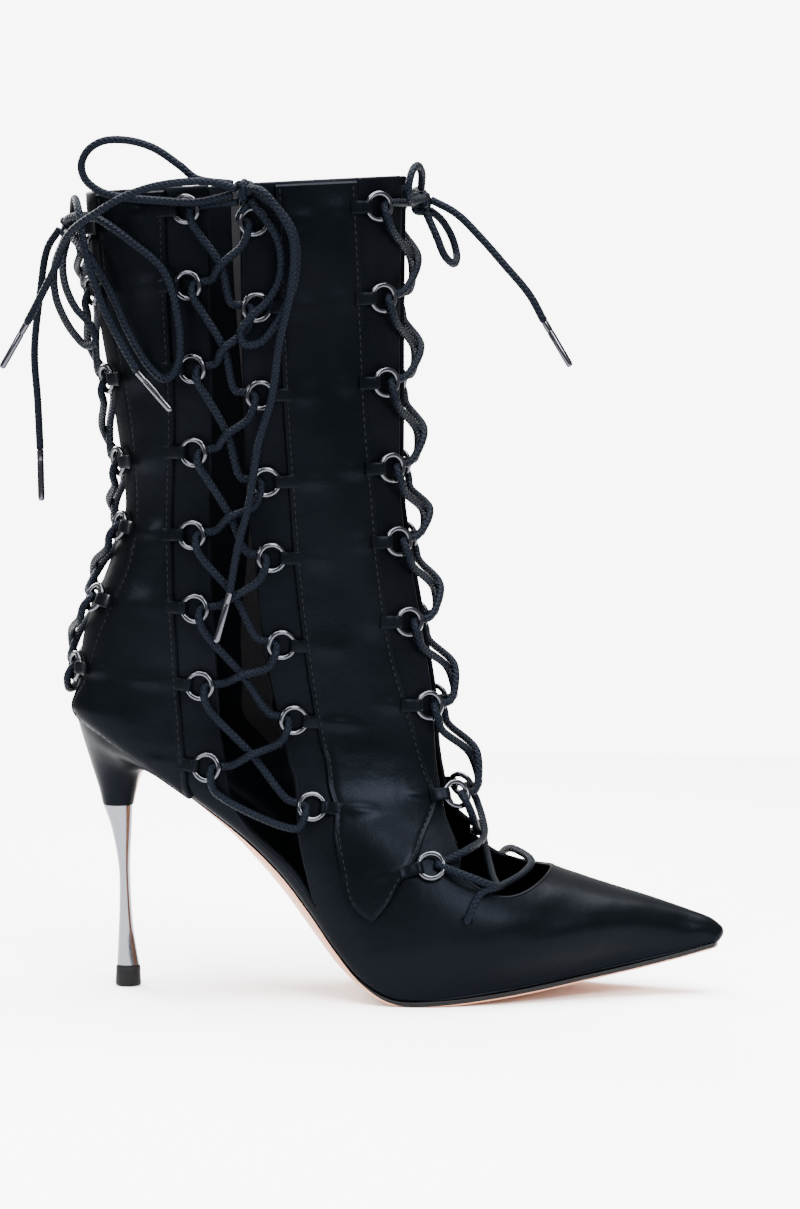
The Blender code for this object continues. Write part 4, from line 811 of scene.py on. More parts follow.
@dataclass
class Upper:
    """The hollow leather upper: an outer and an inner skin over the last, cut by its openings."""

    finishes: Finishes
    along: int = 120
    round_steps: int = 40
    nose_length: float = 0.0036

    def skin(self, places: np.ndarray, offset: float) -> np.ndarray:
        """Closed rings of the last at places: up the lateral flank and down the medial one."""
        angles = np.concatenate([spaced(-1, -0.2, 5), spaced(0, 1, self.round_steps)])
        share = LAST.share_of(places[:, None], angles[None])
        lateral = LAST.point(places[:, None], share, -1.0, offset)
        medial = LAST.point(places[:, None], share, 1.0, offset)
        return np.concatenate([lateral, medial[:, -2::-1]], 1)

    def build(self) -> bpy.types.Object:
        """Join the skins over a round collar edge, then cut every opening."""
        places = np.concatenate([spaced(0, 7, 46), spaced(7.1, TIP_ROW - 0.3, self.along - 46)])
        outer = self.skin(places, 0)
        heart, nose = outer[-1:].mean(1, keepdims=True), spaced(0, np.pi / 2, 9)[1:, None, None]
        leaning = outer[-1, self.round_steps + 4] - outer[-1, 0]
        ahead = unit(np.array([leaning[2], 0, -leaning[0]]))
        tip = heart + (outer[-1:] - heart) * np.cos(nose) ** 0.6 + ahead * self.nose_length * np.sin(nose)
        inner_places = np.concatenate([spaced(0, 7, 40), spaced(7.15, TOE_ROW, 50)])
        inner = self.skin(inner_places, -UPPER_WALL)
        end = np.repeat(inner[-1:].mean(1, keepdims=True), inner.shape[1], 1)
        turn = spaced(0, np.pi, 7)[1:-1, None, None]
        middle = (outer[0] + inner[0]) / 2
        lift = np.array([0, 0, UPPER_WALL / 2])
        rim = middle + (outer[0] - middle) * np.cos(turn) + lift * np.sin(turn)
        shell = make_piece("upper_leather", [
            Patch(np.concatenate([inner[:1], rim[::-1], outer, tip])),
            Patch(np.concatenate([inner, end]), slot=1)], [self.finishes.leather, self.finishes.lining], 50)
        cutters = [self.back_slot(), self.front_slot(), self.throat()]
        cutters += [self.band("side_gap", Edge.GAP_REAR, Edge.GAP_FRONT, GAP_END), self.zip_slit()]
        hole = LACE_HOLE_DIAMETER / 2
        rod = lathe(np.array([[0, -CUT_DEPTH], [hole, -CUT_DEPTH], [hole, CUT_DEPTH], [0, CUT_DEPTH]]), 20)
        for side in Side:
            cutters.append(make_piece("lace_hole", [Patch(placed(rod, *lace_hole(side)))], []))
        for cutter in cutters:
            step = shell.modifiers.new(cutter.name, "BOOLEAN")
            step.object, step.operation, step.solver = cutter, "DIFFERENCE", "EXACT"
        graph = bpy.context.evaluated_depsgraph_get()
        cut = bpy.data.meshes.new_from_object(shell.evaluated_get(graph))
        bpy.data.objects.remove(shell, do_unlink=True)
        for cutter in cutters:
            bpy.data.objects.remove(cutter, do_unlink=True)
        cut.materials.clear()
        obj = add_piece("upper_leather", cut, [self.finishes.leather, self.finishes.lining], 50)
        return settle(obj, ("upper",))

    @staticmethod
    def prism(name: str, outline: np.ndarray, axis: int, low: float, high: float) -> bpy.types.Object:
        """Prism of an outline of two coordinates along an axis, with flat ends."""
        count = len(outline)
        points = np.concatenate([np.insert(outline, axis, end, axis=1) for end in (low, high)])
        walls = [(i, (i + 1) % count, count + (i + 1) % count, count + i) for i in range(count)]
        mesh = bpy.data.meshes.new(name)
        mesh.from_pydata(points.tolist(), [], walls + [tuple(range(count)), tuple(range(count, 2 * count))])
        shape = bmesh.new()
        shape.from_mesh(mesh)
        bmesh.ops.recalc_face_normals(shape, faces=shape.faces)
        shape.to_mesh(mesh)
        shape.free()
        return add_piece(name, mesh, [])

    @staticmethod
    def slot_foot(count: int) -> np.ndarray:
        """Half circle at the foot of the back opening, as y and z."""
        turn, half = spaced(0, np.pi, count), BACK_GAP / 2
        return np.stack([half * np.cos(turn), BACK_GAP_FLOOR + half - half * np.sin(turn)], -1)

    def back_slot(self) -> bpy.types.Object:
        """Slot of the laced back opening, with a round foot."""
        ceiling = [[-BACK_GAP / 2, ABOVE_COLLAR], [BACK_GAP / 2, ABOVE_COLLAR]]
        return self.prism("back_slot", np.concatenate([ceiling, self.slot_foot(25)]), 0, -0.05, 0.042)

    def front_slot(self) -> bpy.types.Object:
        """Slot of the laced front opening, wider towards the throat."""
        edges = [self.slot_edge(side, ABOVE_COLLAR) for side in Side]
        outline = np.concatenate([edges[1], edges[0][::-1]])
        return self.prism("front_slot", outline, 0, 0.064, 0.18)

    @staticmethod
    def slot_edge(side: Side, ceiling: float) -> np.ndarray:
        """Y and z along one edge of the front opening, from a ceiling down to the throat."""
        rows = np.array([[h, z, 0] for h, z in [(.010, ceiling), (.010, .20)] + FRONT_SLOT])
        if side is Side.MEDIAL:
            rows[:, 0] = np.minimum(rows[:, 0], INNER_SLOT)
        return smooth_path(rows, 0.003)[:, :2] * [side.value, 1]

    @staticmethod
    def throat_outline(count: int = 72) -> np.ndarray:
        """Superellipse of the throat seen from above, with a straight back."""
        a = 2 * np.pi * np.arange(count) / count
        power = 2 / THROAT_SQUARENESS
        x = softened(np.cos(a), power) * THROAT_LENGTH / 2
        x = np.maximum(x, THROAT_BACK - THROAT_FRONT + THROAT_LENGTH / 2)
        y = softened(np.sin(a), power) * THROAT_WIDTH / 2
        y = np.where(y > 0, y * INNER_THROAT, y)
        swing = float(LAST.section(np.array(BREAST_ROW + 3.0))[4][1])
        return np.stack([THROAT_FRONT - THROAT_LENGTH / 2 + x, swing + y], -1)

    def throat(self) -> bpy.types.Object:
        """Upright prism through the vamp's roof."""
        floor = float(LAST.ends(np.array(BREAST_ROW + 4.0))[1][1]) * 0.45
        return self.prism("throat", self.throat_outline(), 2, floor, FRONT_SLOT[-1][1] + 0.015)

    def band(self, name: str, rear: Edge, front: Edge, end: float) -> bpy.types.Object:
        """Cutter through the lateral wall between two panel edges."""
        places = spaced(0, end, 120)
        return self.plate(name, places, LAST.edge(rear, places), LAST.edge(front, places), -1.0)

    def zip_slit(self) -> bpy.types.Object:
        """Cutter of the zip's slit on the medial side."""
        places = spaced(0, ZIP_END, 80)
        low, top = LAST.ends(places)
        half = ZIP_SLIT / 2 / np.linalg.norm(top - low, axis=-1)
        return self.plate("zip_slit", places, ZIP_LINE - half, ZIP_LINE + half, 1.0)

    @staticmethod
    def plate(name: str, places: np.ndarray, near: np.ndarray, far: np.ndarray,
              side: float) -> bpy.types.Object:
        """Curved plate through the wall between two lines of shares, raised above the collar."""
        start, stop = LAST.angle_of(places, near), LAST.angle_of(places, far)
        angle = start[:, None] + (stop - start)[:, None] * spaced(0, 1, 9)
        share = LAST.share_of(places[:, None], angle)
        inside, outside = (LAST.point(places[:, None], share, side, depth)
                           for depth in (-CUT_DEPTH, CUT_DEPTH))
        inside[0, :, 2] += 0.008
        outside[0, :, 2] += 0.008
        return make_piece(name, [plate_between(inside, outside)], [])


@dataclass
class FoldedEdges:
    """Rounded folded edges of the upper along its openings."""

    finishes: Finishes
    radius: float = UPPER_WALL * 0.56

    def on_line(self, places: np.ndarray, shares: np.ndarray, sides: np.ndarray) -> np.ndarray:
        """Middle of the wall along a line of the flank."""
        return LAST.surface(places, shares, sides, np.full(len(places), -UPPER_WALL / 2))

    def build(self) -> bpy.types.Object:
        """Tubes along the side gap, the back slot, the front slot and the throat."""
        places = spaced(0.0, GAP_END, 150)
        rear = self.on_line(places, LAST.edge(Edge.GAP_REAR, places), -1.0)
        front = self.on_line(places, LAST.edge(Edge.GAP_FRONT, places), -1.0)
        paths = [smooth_path(np.concatenate([rear, front[::-1]])[::2], 0.002)]
        foot = Upper.slot_foot(17)
        height = spaced(0.292, foot[0, 1] + 0.004, 50)
        targets = np.concatenate([np.stack([np.full(50, BACK_GAP / 2), height], -1), foot,
                                  np.stack([np.full(50, -BACK_GAP / 2), height[::-1]], -1)])
        traced = [LAST.trace(targets, (1, 2), (0, 7.0), (-1.0, 0.5))]
        for side in Side:
            traced.append(LAST.trace(Upper.slot_edge(side, 0.297)[:-1], (1, 2), (0, 13.0), (0.5, 1.0)))
        rim = Upper.throat_outline(90)
        rim = rim[rim[:, 0] > THROAT_BACK + 0.0004]
        split = int(np.argmax(np.abs(np.diff(rim[:, 1])))) + 1
        rim = np.concatenate([rim[split:], rim[:split]])
        traced.append(LAST.trace(rim, (0, 1), (11.0, 17.0), (0.5, 1.0)))
        paths += [smooth_path(self.on_line(*found), 0.002) for found in traced]
        patches = [tube(path, self.radius, 10) for path in paths]
        turn = spaced(0, 2 * np.pi, 33)
        ring = np.stack([np.cos(turn), np.sin(turn), turn * 0], -1) * (LACE_HOLE_DIAMETER / 2 + 0.0002)
        for side in Side:
            patches.append(tube(placed(ring, *lace_hole(side, -0.0001)), self.radius * 0.45, 10,
                                closed_ends=False))
        obj = make_piece("folded_edges", patches, [self.finishes.leather])
        return settle(obj)


@dataclass
class Overlay:
    """Leather overlay stitched over the upper, with a cut edge and soft rises over its tabs."""

    name: str
    side: Side
    rear: Edge
    front: Edge
    end: float
    finishes: Finishes
    rear_tabs: list[float] = field(default_factory=list)
    front_tabs: list[float] = field(default_factory=list)
    wall: float = 0.0017
    stitch_inset: float = 0.0020
    stitch_pitch: float = 0.0027
    stitch_length: float = 0.0019
    stitch_radius: float = 0.00024
    stitch_dip: float = 0.00022
    tab_rise: float = 0.0006
    tab_end: float = 0.0085
    tab_length: float = 0.0055
    tail: float = 0.0

    def lines(self, places: np.ndarray) -> tuple[np.ndarray, np.ndarray]:
        """Angles of the overlay's two edges at places."""
        start, stop = (LAST.angle_of(places, LAST.edge(edge, places)) for edge in (self.rear, self.front))
        if not self.tail:
            return start, stop
        middle = (start + stop) / 2
        narrow = np.sqrt(1 - (1 - np.clip((self.end + 0.01 - places) / self.tail, 0, 1)) ** 2)
        return middle + (start - middle) * narrow, middle + (stop - middle) * narrow

    def height(self, places: np.ndarray, from_rear: np.ndarray, from_front: np.ndarray) -> np.ndarray:
        """Height off the upper.

        It climbs to the wall within 0.5 mm of an edge, dips a little along each stitch line, and
        rises as a soft bell over the hidden end of each tab.
        """
        near = np.minimum(from_rear, from_front)
        high = self.wall * np.clip(near / 0.0005, 0, 1) ** 0.5
        high -= self.stitch_dip * np.exp(-((near - self.stitch_inset) / 0.0006) ** 2)
        for tabs, distance in ((self.rear_tabs, from_rear), (self.front_tabs, from_front)):
            for tab in tabs:
                width = 0.09 if tab < 3 else 0.16 if tab < 7 else 0.25
                high += self.tab_rise * np.exp(-((places - tab) / width) ** 2
                                               - ((distance - self.tab_end) / self.tab_length) ** 2)
        return high - 0.0002 * (near <= 0)

    def build(self) -> bpy.types.Object:
        """Grid between the two edges, finer near each edge, as a closed plate."""
        places = spaced(0.01, self.end, 400)
        start, stop = self.lines(places)
        here = LAST.point(places, LAST.share_of(places, start), self.side.value)
        there = LAST.point(places, LAST.share_of(places, stop), self.side.value)
        width = np.linalg.norm(there - here, axis=-1) * 1.04
        edge = np.array([0, .0001, .0003, .0006, .0012, .0017, .0020, .0023, .0030, .0045, .0065])
        limit = width[:, None] * 0.49
        first = np.minimum(edge[None], limit * spaced(0, 1, len(edge)))
        middle = width[:, None] * spaced(0, 1, 21)[1:-1]
        middle = np.clip(middle, first[:, -1:], width[:, None] - first[:, -1:])
        across = np.concatenate([first, middle, width[:, None] - first[:, ::-1]], 1)
        share = LAST.share_of(places[:, None],
                              start[:, None] + (stop - start)[:, None] * across / width[:, None])
        high = self.height(places[:, None], across, width[:, None] - across)
        ends = np.clip((places - places[0]) / 0.02, 0, 1)[:, None]
        top = LAST.surface(places[:, None], share, self.side.value, high * (0.6 + 0.4 * ends))
        under = LAST.surface(places[:, None], share, self.side.value, np.full_like(share, -0.0002))
        obj = make_piece(self.name + "_leather", [plate_between(top, under)], [self.finishes.overlay], 32)
        return settle(obj, (self.name,))

    def stitches(self) -> bpy.types.Object:
        """Short thread stitches in the dip along both edges: small spindles, one a pitch apart."""
        patches = []
        profile = np.stack([self.stitch_radius * np.sin(spaced(0, np.pi, 6)) ** 0.6,
                            self.stitch_length / 2 * spaced(-1, 1, 6)], -1)
        spindle = lathe(profile, 6)
        dense = spaced(0.06, self.end - 0.35, 900)
        for start, inset in zip(self.lines(dense), (self.stitch_inset, -self.stitch_inset)):
            share = LAST.beside(dense, LAST.share_of(dense, start), self.side.value,
                                np.full(len(dense), inset))
            line = LAST.surface(dense, share, self.side.value, np.full(len(dense), self.wall - 0.0001))
            travelled = travel(line)
            marks = np.arange(0.0015, travelled[-1] - 0.001, self.stitch_pitch)
            spot = read_along(marks, travelled, line)
            z = unit(read_along(marks + 0.0004, travelled, line) - spot)
            out = LAST.normal(np.interp(marks, travelled, dense), np.interp(marks, travelled, share),
                              self.side.value)
            patches += [Patch(placed(spindle, o, a)) for o, a in zip(spot, axes_along(z, out))]
        obj = make_piece(self.name + "_stitches", patches, [self.finishes.thread])
        return settle(obj)


@dataclass
class RingRow:
    """One row of metal lace rings, each held by a leather tab from under its overlay."""

    name: str
    places: list[float]
    edge: Edge
    side: Side
    forward: float
    finishes: Finishes
    tilt: float = 9.0
    rise: float = 0.0006

    def frames(self) -> tuple[np.ndarray, np.ndarray]:
        """Frames of the rings: x along the section to the front, z outwards."""
        places = np.array(self.places)
        reach = np.full(len(places), TAB_REACH * self.forward)
        share = LAST.beside(places, LAST.edge(self.edge, places), self.side.value, reach)
        return LAST.frames(places, share, self.side.value, RING_LIFT)

    def build(self) -> bpy.types.Object:
        """A round wire ring and a folded tab for each place."""
        major, minor = (RING_DIAMETER - RING_WIRE) / 2, RING_WIRE / 2
        wire = spaced(0, 2 * np.pi, 13)
        around = spaced(0, 2 * np.pi, 41)
        reach = major + minor * np.cos(wire)
        torus = np.stack([reach * np.cos(around)[:, None], reach * np.sin(around)[:, None],
                          np.broadcast_to(minor * np.sin(wire), (41, 13))], -1)
        lean = math.radians(self.tilt) * self.forward
        turned = torus @ np.array([[math.cos(lean), 0, math.sin(lean)], [0, 1, 0],
                                   [-math.sin(lean), 0, math.cos(lean)]])
        turned = turned + [0, 0, self.rise]
        patches = []
        for origin, axes in zip(*self.frames()):
            patches.append(Patch(placed(turned, origin, axes)))
            patches.append(Patch(placed(self.tab(), origin, axes), slot=1))
        obj = make_piece(self.name + "_dressed", patches, [self.finishes.ring, self.finishes.overlay], 45)
        return settle(obj, (self.name,))

    def tab(self) -> np.ndarray:
        """Leather strap from under the overlay, over the ring's near wire and back beneath it.

        A flat rounded section is carried along a line in the ring frame's x and z; it narrows
        from the root to the fold.
        """
        rows = np.array([[-11.5, -.5], [-9.5, -.3], [-8.0, 0.2], [-6.6, 0.9], [-5.6, 1.45], [-4.7, 1.65],
                         [-3.7, 1.35], [-3.25, .5], [-3.4, -.5], [-4.2, -1.0]]) * MM
        rows[:, 0] *= self.forward
        line = smooth_path(np.insert(rows, 1, 0.0, axis=1), 0.0006)
        tangent = unit(np.gradient(line, axis=0))
        up = np.stack([-tangent[:, 2], tangent[:, 1] * 0, tangent[:, 0]], -1)
        half = TAB_WIDTH / 2 * (1.0 - 0.16 * spaced(0, 1, len(line)))
        turn = spaced(0, 2 * np.pi, 15)
        wide = softened(np.cos(turn), 0.45)
        thick = softened(np.sin(turn), 0.7) * 0.00042
        points = (line[:, None] + np.array([0, 1.0, 0]) * (half[:, None] * wide)[..., None]
                  + up[:, None] * thick[None, :, None])
        return capped(points)


@dataclass
class Lacing:
    """A crossed lace between two rows of rings, with its leads to the knot."""

    name: str
    left: RingRow
    right: RingRow
    left_forward: float
    right_forward: float
    bulge: float
    leads: tuple[tuple[float, float, float], tuple[float, float, float]]
    knot: "Knot"
    finishes: Finishes
    turns: tuple[tuple[float, float, float], tuple[float, float, float]] | None = None
    foot: list[tuple[float, float, float]] = field(default_factory=list)
    bar: list[tuple[float, float, float]] = field(default_factory=list)

    def hooks(self, row: RingRow, forward: float) -> list[np.ndarray]:
        """Points at each ring where a lace arrives beneath the wire and hangs out over it.

        Args:
            row: the ring row.
            forward: +1 where the opening lies ahead of the rings.

        Returns:
            For each ring its points, from arriving to leaving.
        """
        local = np.array([[9.0 * forward, 1.8, .6], [5.4 * forward, 1.0, .05], [2.2 * forward, .2, .5],
                          [1.9 * forward, -2.2, 2.2], [2.6 * forward, -4.8, 2.8],
                          [4.6 * forward, -8.6, 1.8]]) * MM
        origins, axes = row.frames()
        made = []
        for origin, frame_axes in zip(origins, axes):
            points = placed(local, origin, frame_axes)
            if points[0, 2] <= points[-1, 2]:
                points = placed(local * [1, -1, 1], origin, frame_axes)
            made.append(points)
        return made

    def build(self) -> bpy.types.Object:
        """Two strands that cross between the rings, one over the other in turn."""
        left = self.hooks(self.left, self.left_forward)
        right = self.hooks(self.right, self.right_forward)
        middle = []
        for i in range(1, len(left)):
            down = (left[i] + right[i] - left[i - 1] - right[i - 1])[2]
            out = unit(np.cross(down, right[i][2] - left[i][2]))
            middle.append(((left[i][0] + left[i - 1][-1] + right[i][0] + right[i - 1][-1]) / 4, out))
        paths = []
        for start, rows in enumerate(((right, left), (left, right))):
            lead = self.knot.leave(self.leads[1 - start])
            points = [lead[None], rows[0][0][1:]]
            for i in range(1, len(left)):
                heart, out = middle[i - 1]
                over = 1.0 if (i + start) % 2 else -1.0
                points.append((heart + out * (self.bulge + over * LACE_DIAMETER * 0.46))[None])
                points.append(rows[i % 2][i])
            if self.turns:
                points.insert(-1, np.array([self.turns[1 - start]]) * MM)
            if self.turns or start == 1:
                points[-1] = points[-1][:3]
            if start == 0:
                points.append(np.array(self.foot) * MM if self.foot else left[-1][:1:-1]
                              if len(left) % 2 else right[-1][:1:-1])
            paths.append(np.concatenate(points))
        if self.foot:
            paths[0] = np.concatenate([paths[0], paths[1][-1:]])
        if self.bar:
            holes = [lace_hole(side) for side in Side]
            ends = [origin + axes[:, 2] * height for origin, axes in holes for height in (-0.002, 0.0012)]
            paths.append(np.concatenate([ends[:2], np.array(self.bar) * MM, ends[:1:-1]]))
        tubes = [tube(smooth_path(path, 0.0011), LACE_DIAMETER / 2, 12) for path in paths]
        obj = make_piece(self.name + "_braid", tubes, [self.finishes.cord])
        return settle(obj, (self.name,))


@dataclass
class Knot:
    """Bow knot of one lace: a small tight trefoil of cord about its middle."""

    name: str
    middle: tuple[float, float, float]
    half: tuple[float, float, float]
    face: int
    finishes: Finishes

    def leave(self, toward: tuple[float, float, float]) -> np.ndarray:
        """Point just off the knot where a strand leaves it towards a point in millimetres."""
        way = unit(np.array(toward) - self.middle)
        radius = 1 / math.sqrt(((way / self.half) ** 2).sum())
        return (np.array(self.middle) + way * radius) * MM + way * KNOT_GAP

    def build(self) -> bpy.types.Object:
        """Trefoil: in the knot's plane (sin t + 2 sin 2t, cos t - 2 cos 2t), in depth -sin 3t."""
        t = spaced(0, 2 * np.pi, 121)
        plane = [k for k in range(3) if k != self.face]
        heart, full = np.array(self.middle) * MM, np.array(self.half) * MM
        half = full - LACE_DIAMETER / 2 * 0.9
        path = np.zeros((len(t), 3))
        path[:, plane[0]] = (np.sin(t) + 2 * np.sin(2 * t)) / 3 * half[plane[0]]
        path[:, plane[1]] = (np.cos(t) - 2 * np.cos(2 * t)) / 3 * half[plane[1]]
        path[:, self.face] = -np.sin(3 * t) * half[self.face]
        path += heart
        wrap = spaced(-0.15 * np.pi, 1.15 * np.pi, 40)
        band = np.zeros((len(wrap), 3))
        band[:, plane[1]] = np.cos(wrap) * half[plane[1]] * 0.9
        band[:, self.face] = np.sin(wrap) * half[self.face] * (1.2 if self.face == 0 else -1.2)
        band += heart
        arc = spaced(0, np.pi, 12)
        core = Patch(lathe(np.stack([np.sin(arc), np.cos(arc)], -1), 16) * full * 0.62 + heart)
        obj = make_piece(self.name + "_tied", [tube(path, LACE_DIAMETER / 2 * 0.95, 12),
                                               tube(band, LACE_DIAMETER / 2, 12), core], [self.finishes.cord])
        return settle(obj, (self.name,))


@dataclass
class Bow:
    """The loops and ends of one lace, with their aglets."""

    knot: Knot
    loops: dict[str, list[tuple[float, float, float]]]
    ends: dict[str, list[tuple[float, float, float]]]
    finishes: Finishes

    def build(self) -> None:
        tied = self.knot.build()
        for number, (name, rows) in enumerate(self.loops.items()):
            route = np.concatenate([[self.knot.leave(rows[0])], np.array(rows[1:-1]) * MM,
                                    [self.knot.leave(rows[-1])]])
            self.lay(name, smooth_path(route, 0.0012))
        for name, rows in self.ends.items():
            route = np.concatenate([[self.knot.leave(rows[0])], np.array(rows[1:-1]) * MM])
            path = smooth_path(route, 0.0012)
            tip = np.array(rows[-1]) * MM
            aglet = self.aglet(name.replace("_end", "_aglet"), path[-1], tip)
            self.lay(name, path)

    def lay(self, name: str, path: np.ndarray) -> None:
        """Args:
            name: its node's name.
            path: the centreline.
        """
        obj = make_piece(name + "_braid", [tube(path, LACE_DIAMETER / 2, 12)], [self.finishes.cord])
        settle(obj, (name,))

    def aglet(self, name: str, start: np.ndarray, toward: np.ndarray) -> bpy.types.Object:
        """Metal tube on a lace's tip: a lathed sleeve with rolled ends and one crimp."""
        z = unit(toward - start)
        r, length = AGLET_DIAMETER / 2, AGLET_LENGTH
        profile = np.array([[0, 0], [r * .8, 0], [r, .0003], [r, .0035], [r * .9, .0040], [r * .9, .0044],
                            [r, .0049], [r * .98, length - .0012], [r * .86, length - .0004],
                            [r * .6, length], [0, length]])
        grid = placed(lathe(profile, 20), start + z * CLEARANCE, axes_along(z, ASKEW))
        obj = make_piece(name + "_metal", [Patch(grid)], [self.finishes.ring], 35)
        return settle(obj, (name,))


@dataclass
class Sole:
    """Leather outsole with a nude crowned underside and inked edges, and the sock inside."""

    finishes: Finishes
    nose_length: float = 0.0032
    along: int = 110

    @staticmethod
    def crown(place: np.ndarray) -> np.ndarray:
        """Depth of the waist's crown: nothing at the heel and ball, most between them."""
        share = np.clip((place - BREAST_ROW) / (BALL_ROW - BREAST_ROW), 0, 1)
        return WAIST_CROWN * np.maximum(0.22 * (1 - share), np.sin(np.pi * share))

    @staticmethod
    def floor(place: np.ndarray) -> tuple[np.ndarray, np.ndarray, np.ndarray, np.ndarray]:
        """X, z, half width and swing of the last's flat bottom at places."""
        low, _, _, feather, swing, _, _ = LAST.section(place)
        return low[..., 0], low[..., 1], feather, swing[..., 0]

    def build(self) -> bpy.types.Object:
        """Carry the sole's profile along the last's bottom, from the breast to the toe."""
        place = np.concatenate([spaced(BREAST_ROW - 0.05, BREAST_ROW + 1, 14),
                                spaced(11.1, TIP_ROW, self.along)])
        x, z, feather, swing = self.floor(place)
        reach = feather + SOLE_MARGIN
        nose = spaced(0, np.pi / 2, 10)[1:]
        slope = (z[-1] - z[-2]) / (x[-1] - x[-2])
        x = np.concatenate([x, x[-1] + self.nose_length * np.sin(nose)])
        z = np.concatenate([z, z[-1] + slope * self.nose_length * np.sin(nose)])
        swing = np.concatenate([swing, np.repeat(swing[-1], len(nose))])
        reach = np.concatenate([reach, reach[-1] * np.cos(nose) + 0.0001])
        place = np.concatenate([place, np.full(len(nose), float(TIP_ROW))])
        top = z - CLEARANCE
        start = np.clip((place - BREAST_ROW) / 1.2, 0, 1)
        edge = np.maximum(top - SOLE_THICKNESS * (0.3 + 0.7 * start), 0)
        reach = reach - SOLE_MARGIN * (1 - start)
        ink = 0.0003 + 0.0012 * np.clip((place - 14.2) / 2.2, 0, 1)
        share = spaced(1, -1, 25)
        under = np.maximum(edge[:, None] - self.crown(place)[:, None] * (1 - share ** 2), 0)
        tread = np.maximum(reach - 0.0010, reach * 0.5)
        def strip(rows: tuple) -> np.ndarray:
            """Lateral strip of the profile from distances out and heights."""
            return np.stack([np.stack([x, swing + out, high], -1) for out, high in rows], 1)

        welt = strip(((reach * 0, top), (reach * .5, top), (reach, top)))
        side = strip(((reach, top), (reach + .0001, top - .0001), (reach + .0001, top - ink),
                      (reach - .0001, top - ink - .0001)))
        bottom = np.stack([np.broadcast_to(x[:, None], under.shape),
                           swing[:, None] + tread[:, None] * share, under], -1)
        over = np.stack([x * 0, 2 * swing, x * 0], -1)[:, None]
        other, closing = (part[:, ::-1] * [1, -1, 1] + over for part in (side, welt))
        whole = capped(np.concatenate([welt, side, bottom, other, closing], 1))
        patches = [Patch(whole[:, :7], slot=1), Patch(whole[:, 6:33], slot=0), Patch(whole[:, 32:], slot=1)]
        obj = make_piece("sole_leather", patches, [self.finishes.nude, self.finishes.edge], 35)
        return settle(obj, ("outsole",))

    def sock(self) -> bpy.types.Object:
        """Insole that dishes slightly, with rounded edges."""
        place = spaced(SEAT_ROW + 0.5, TOE_ROW - 1.3, 120)
        x, z, feather, swing = self.floor(place)
        reach = np.maximum(feather - UPPER_WALL, 0.001)
        across = spaced(-1, 1, 25)
        rim = np.clip((np.abs(across) - .9) / .1, 0, 1)
        lift = INSOLE_THICKNESS - 0.0004 * (1 - across ** 2) - 0.0010 * rim ** 2
        top = np.stack([np.broadcast_to(x[:, None], (len(x), 25)), swing[:, None] + reach[:, None] * across,
                        z[:, None] + lift], -1)
        base = top.copy()
        base[..., 2] = z[:, None] + 0.0002
        obj = make_piece("sock_lining", [plate_between(top, base)], [self.finishes.lining], 40)
        return settle(obj, ("insole",))


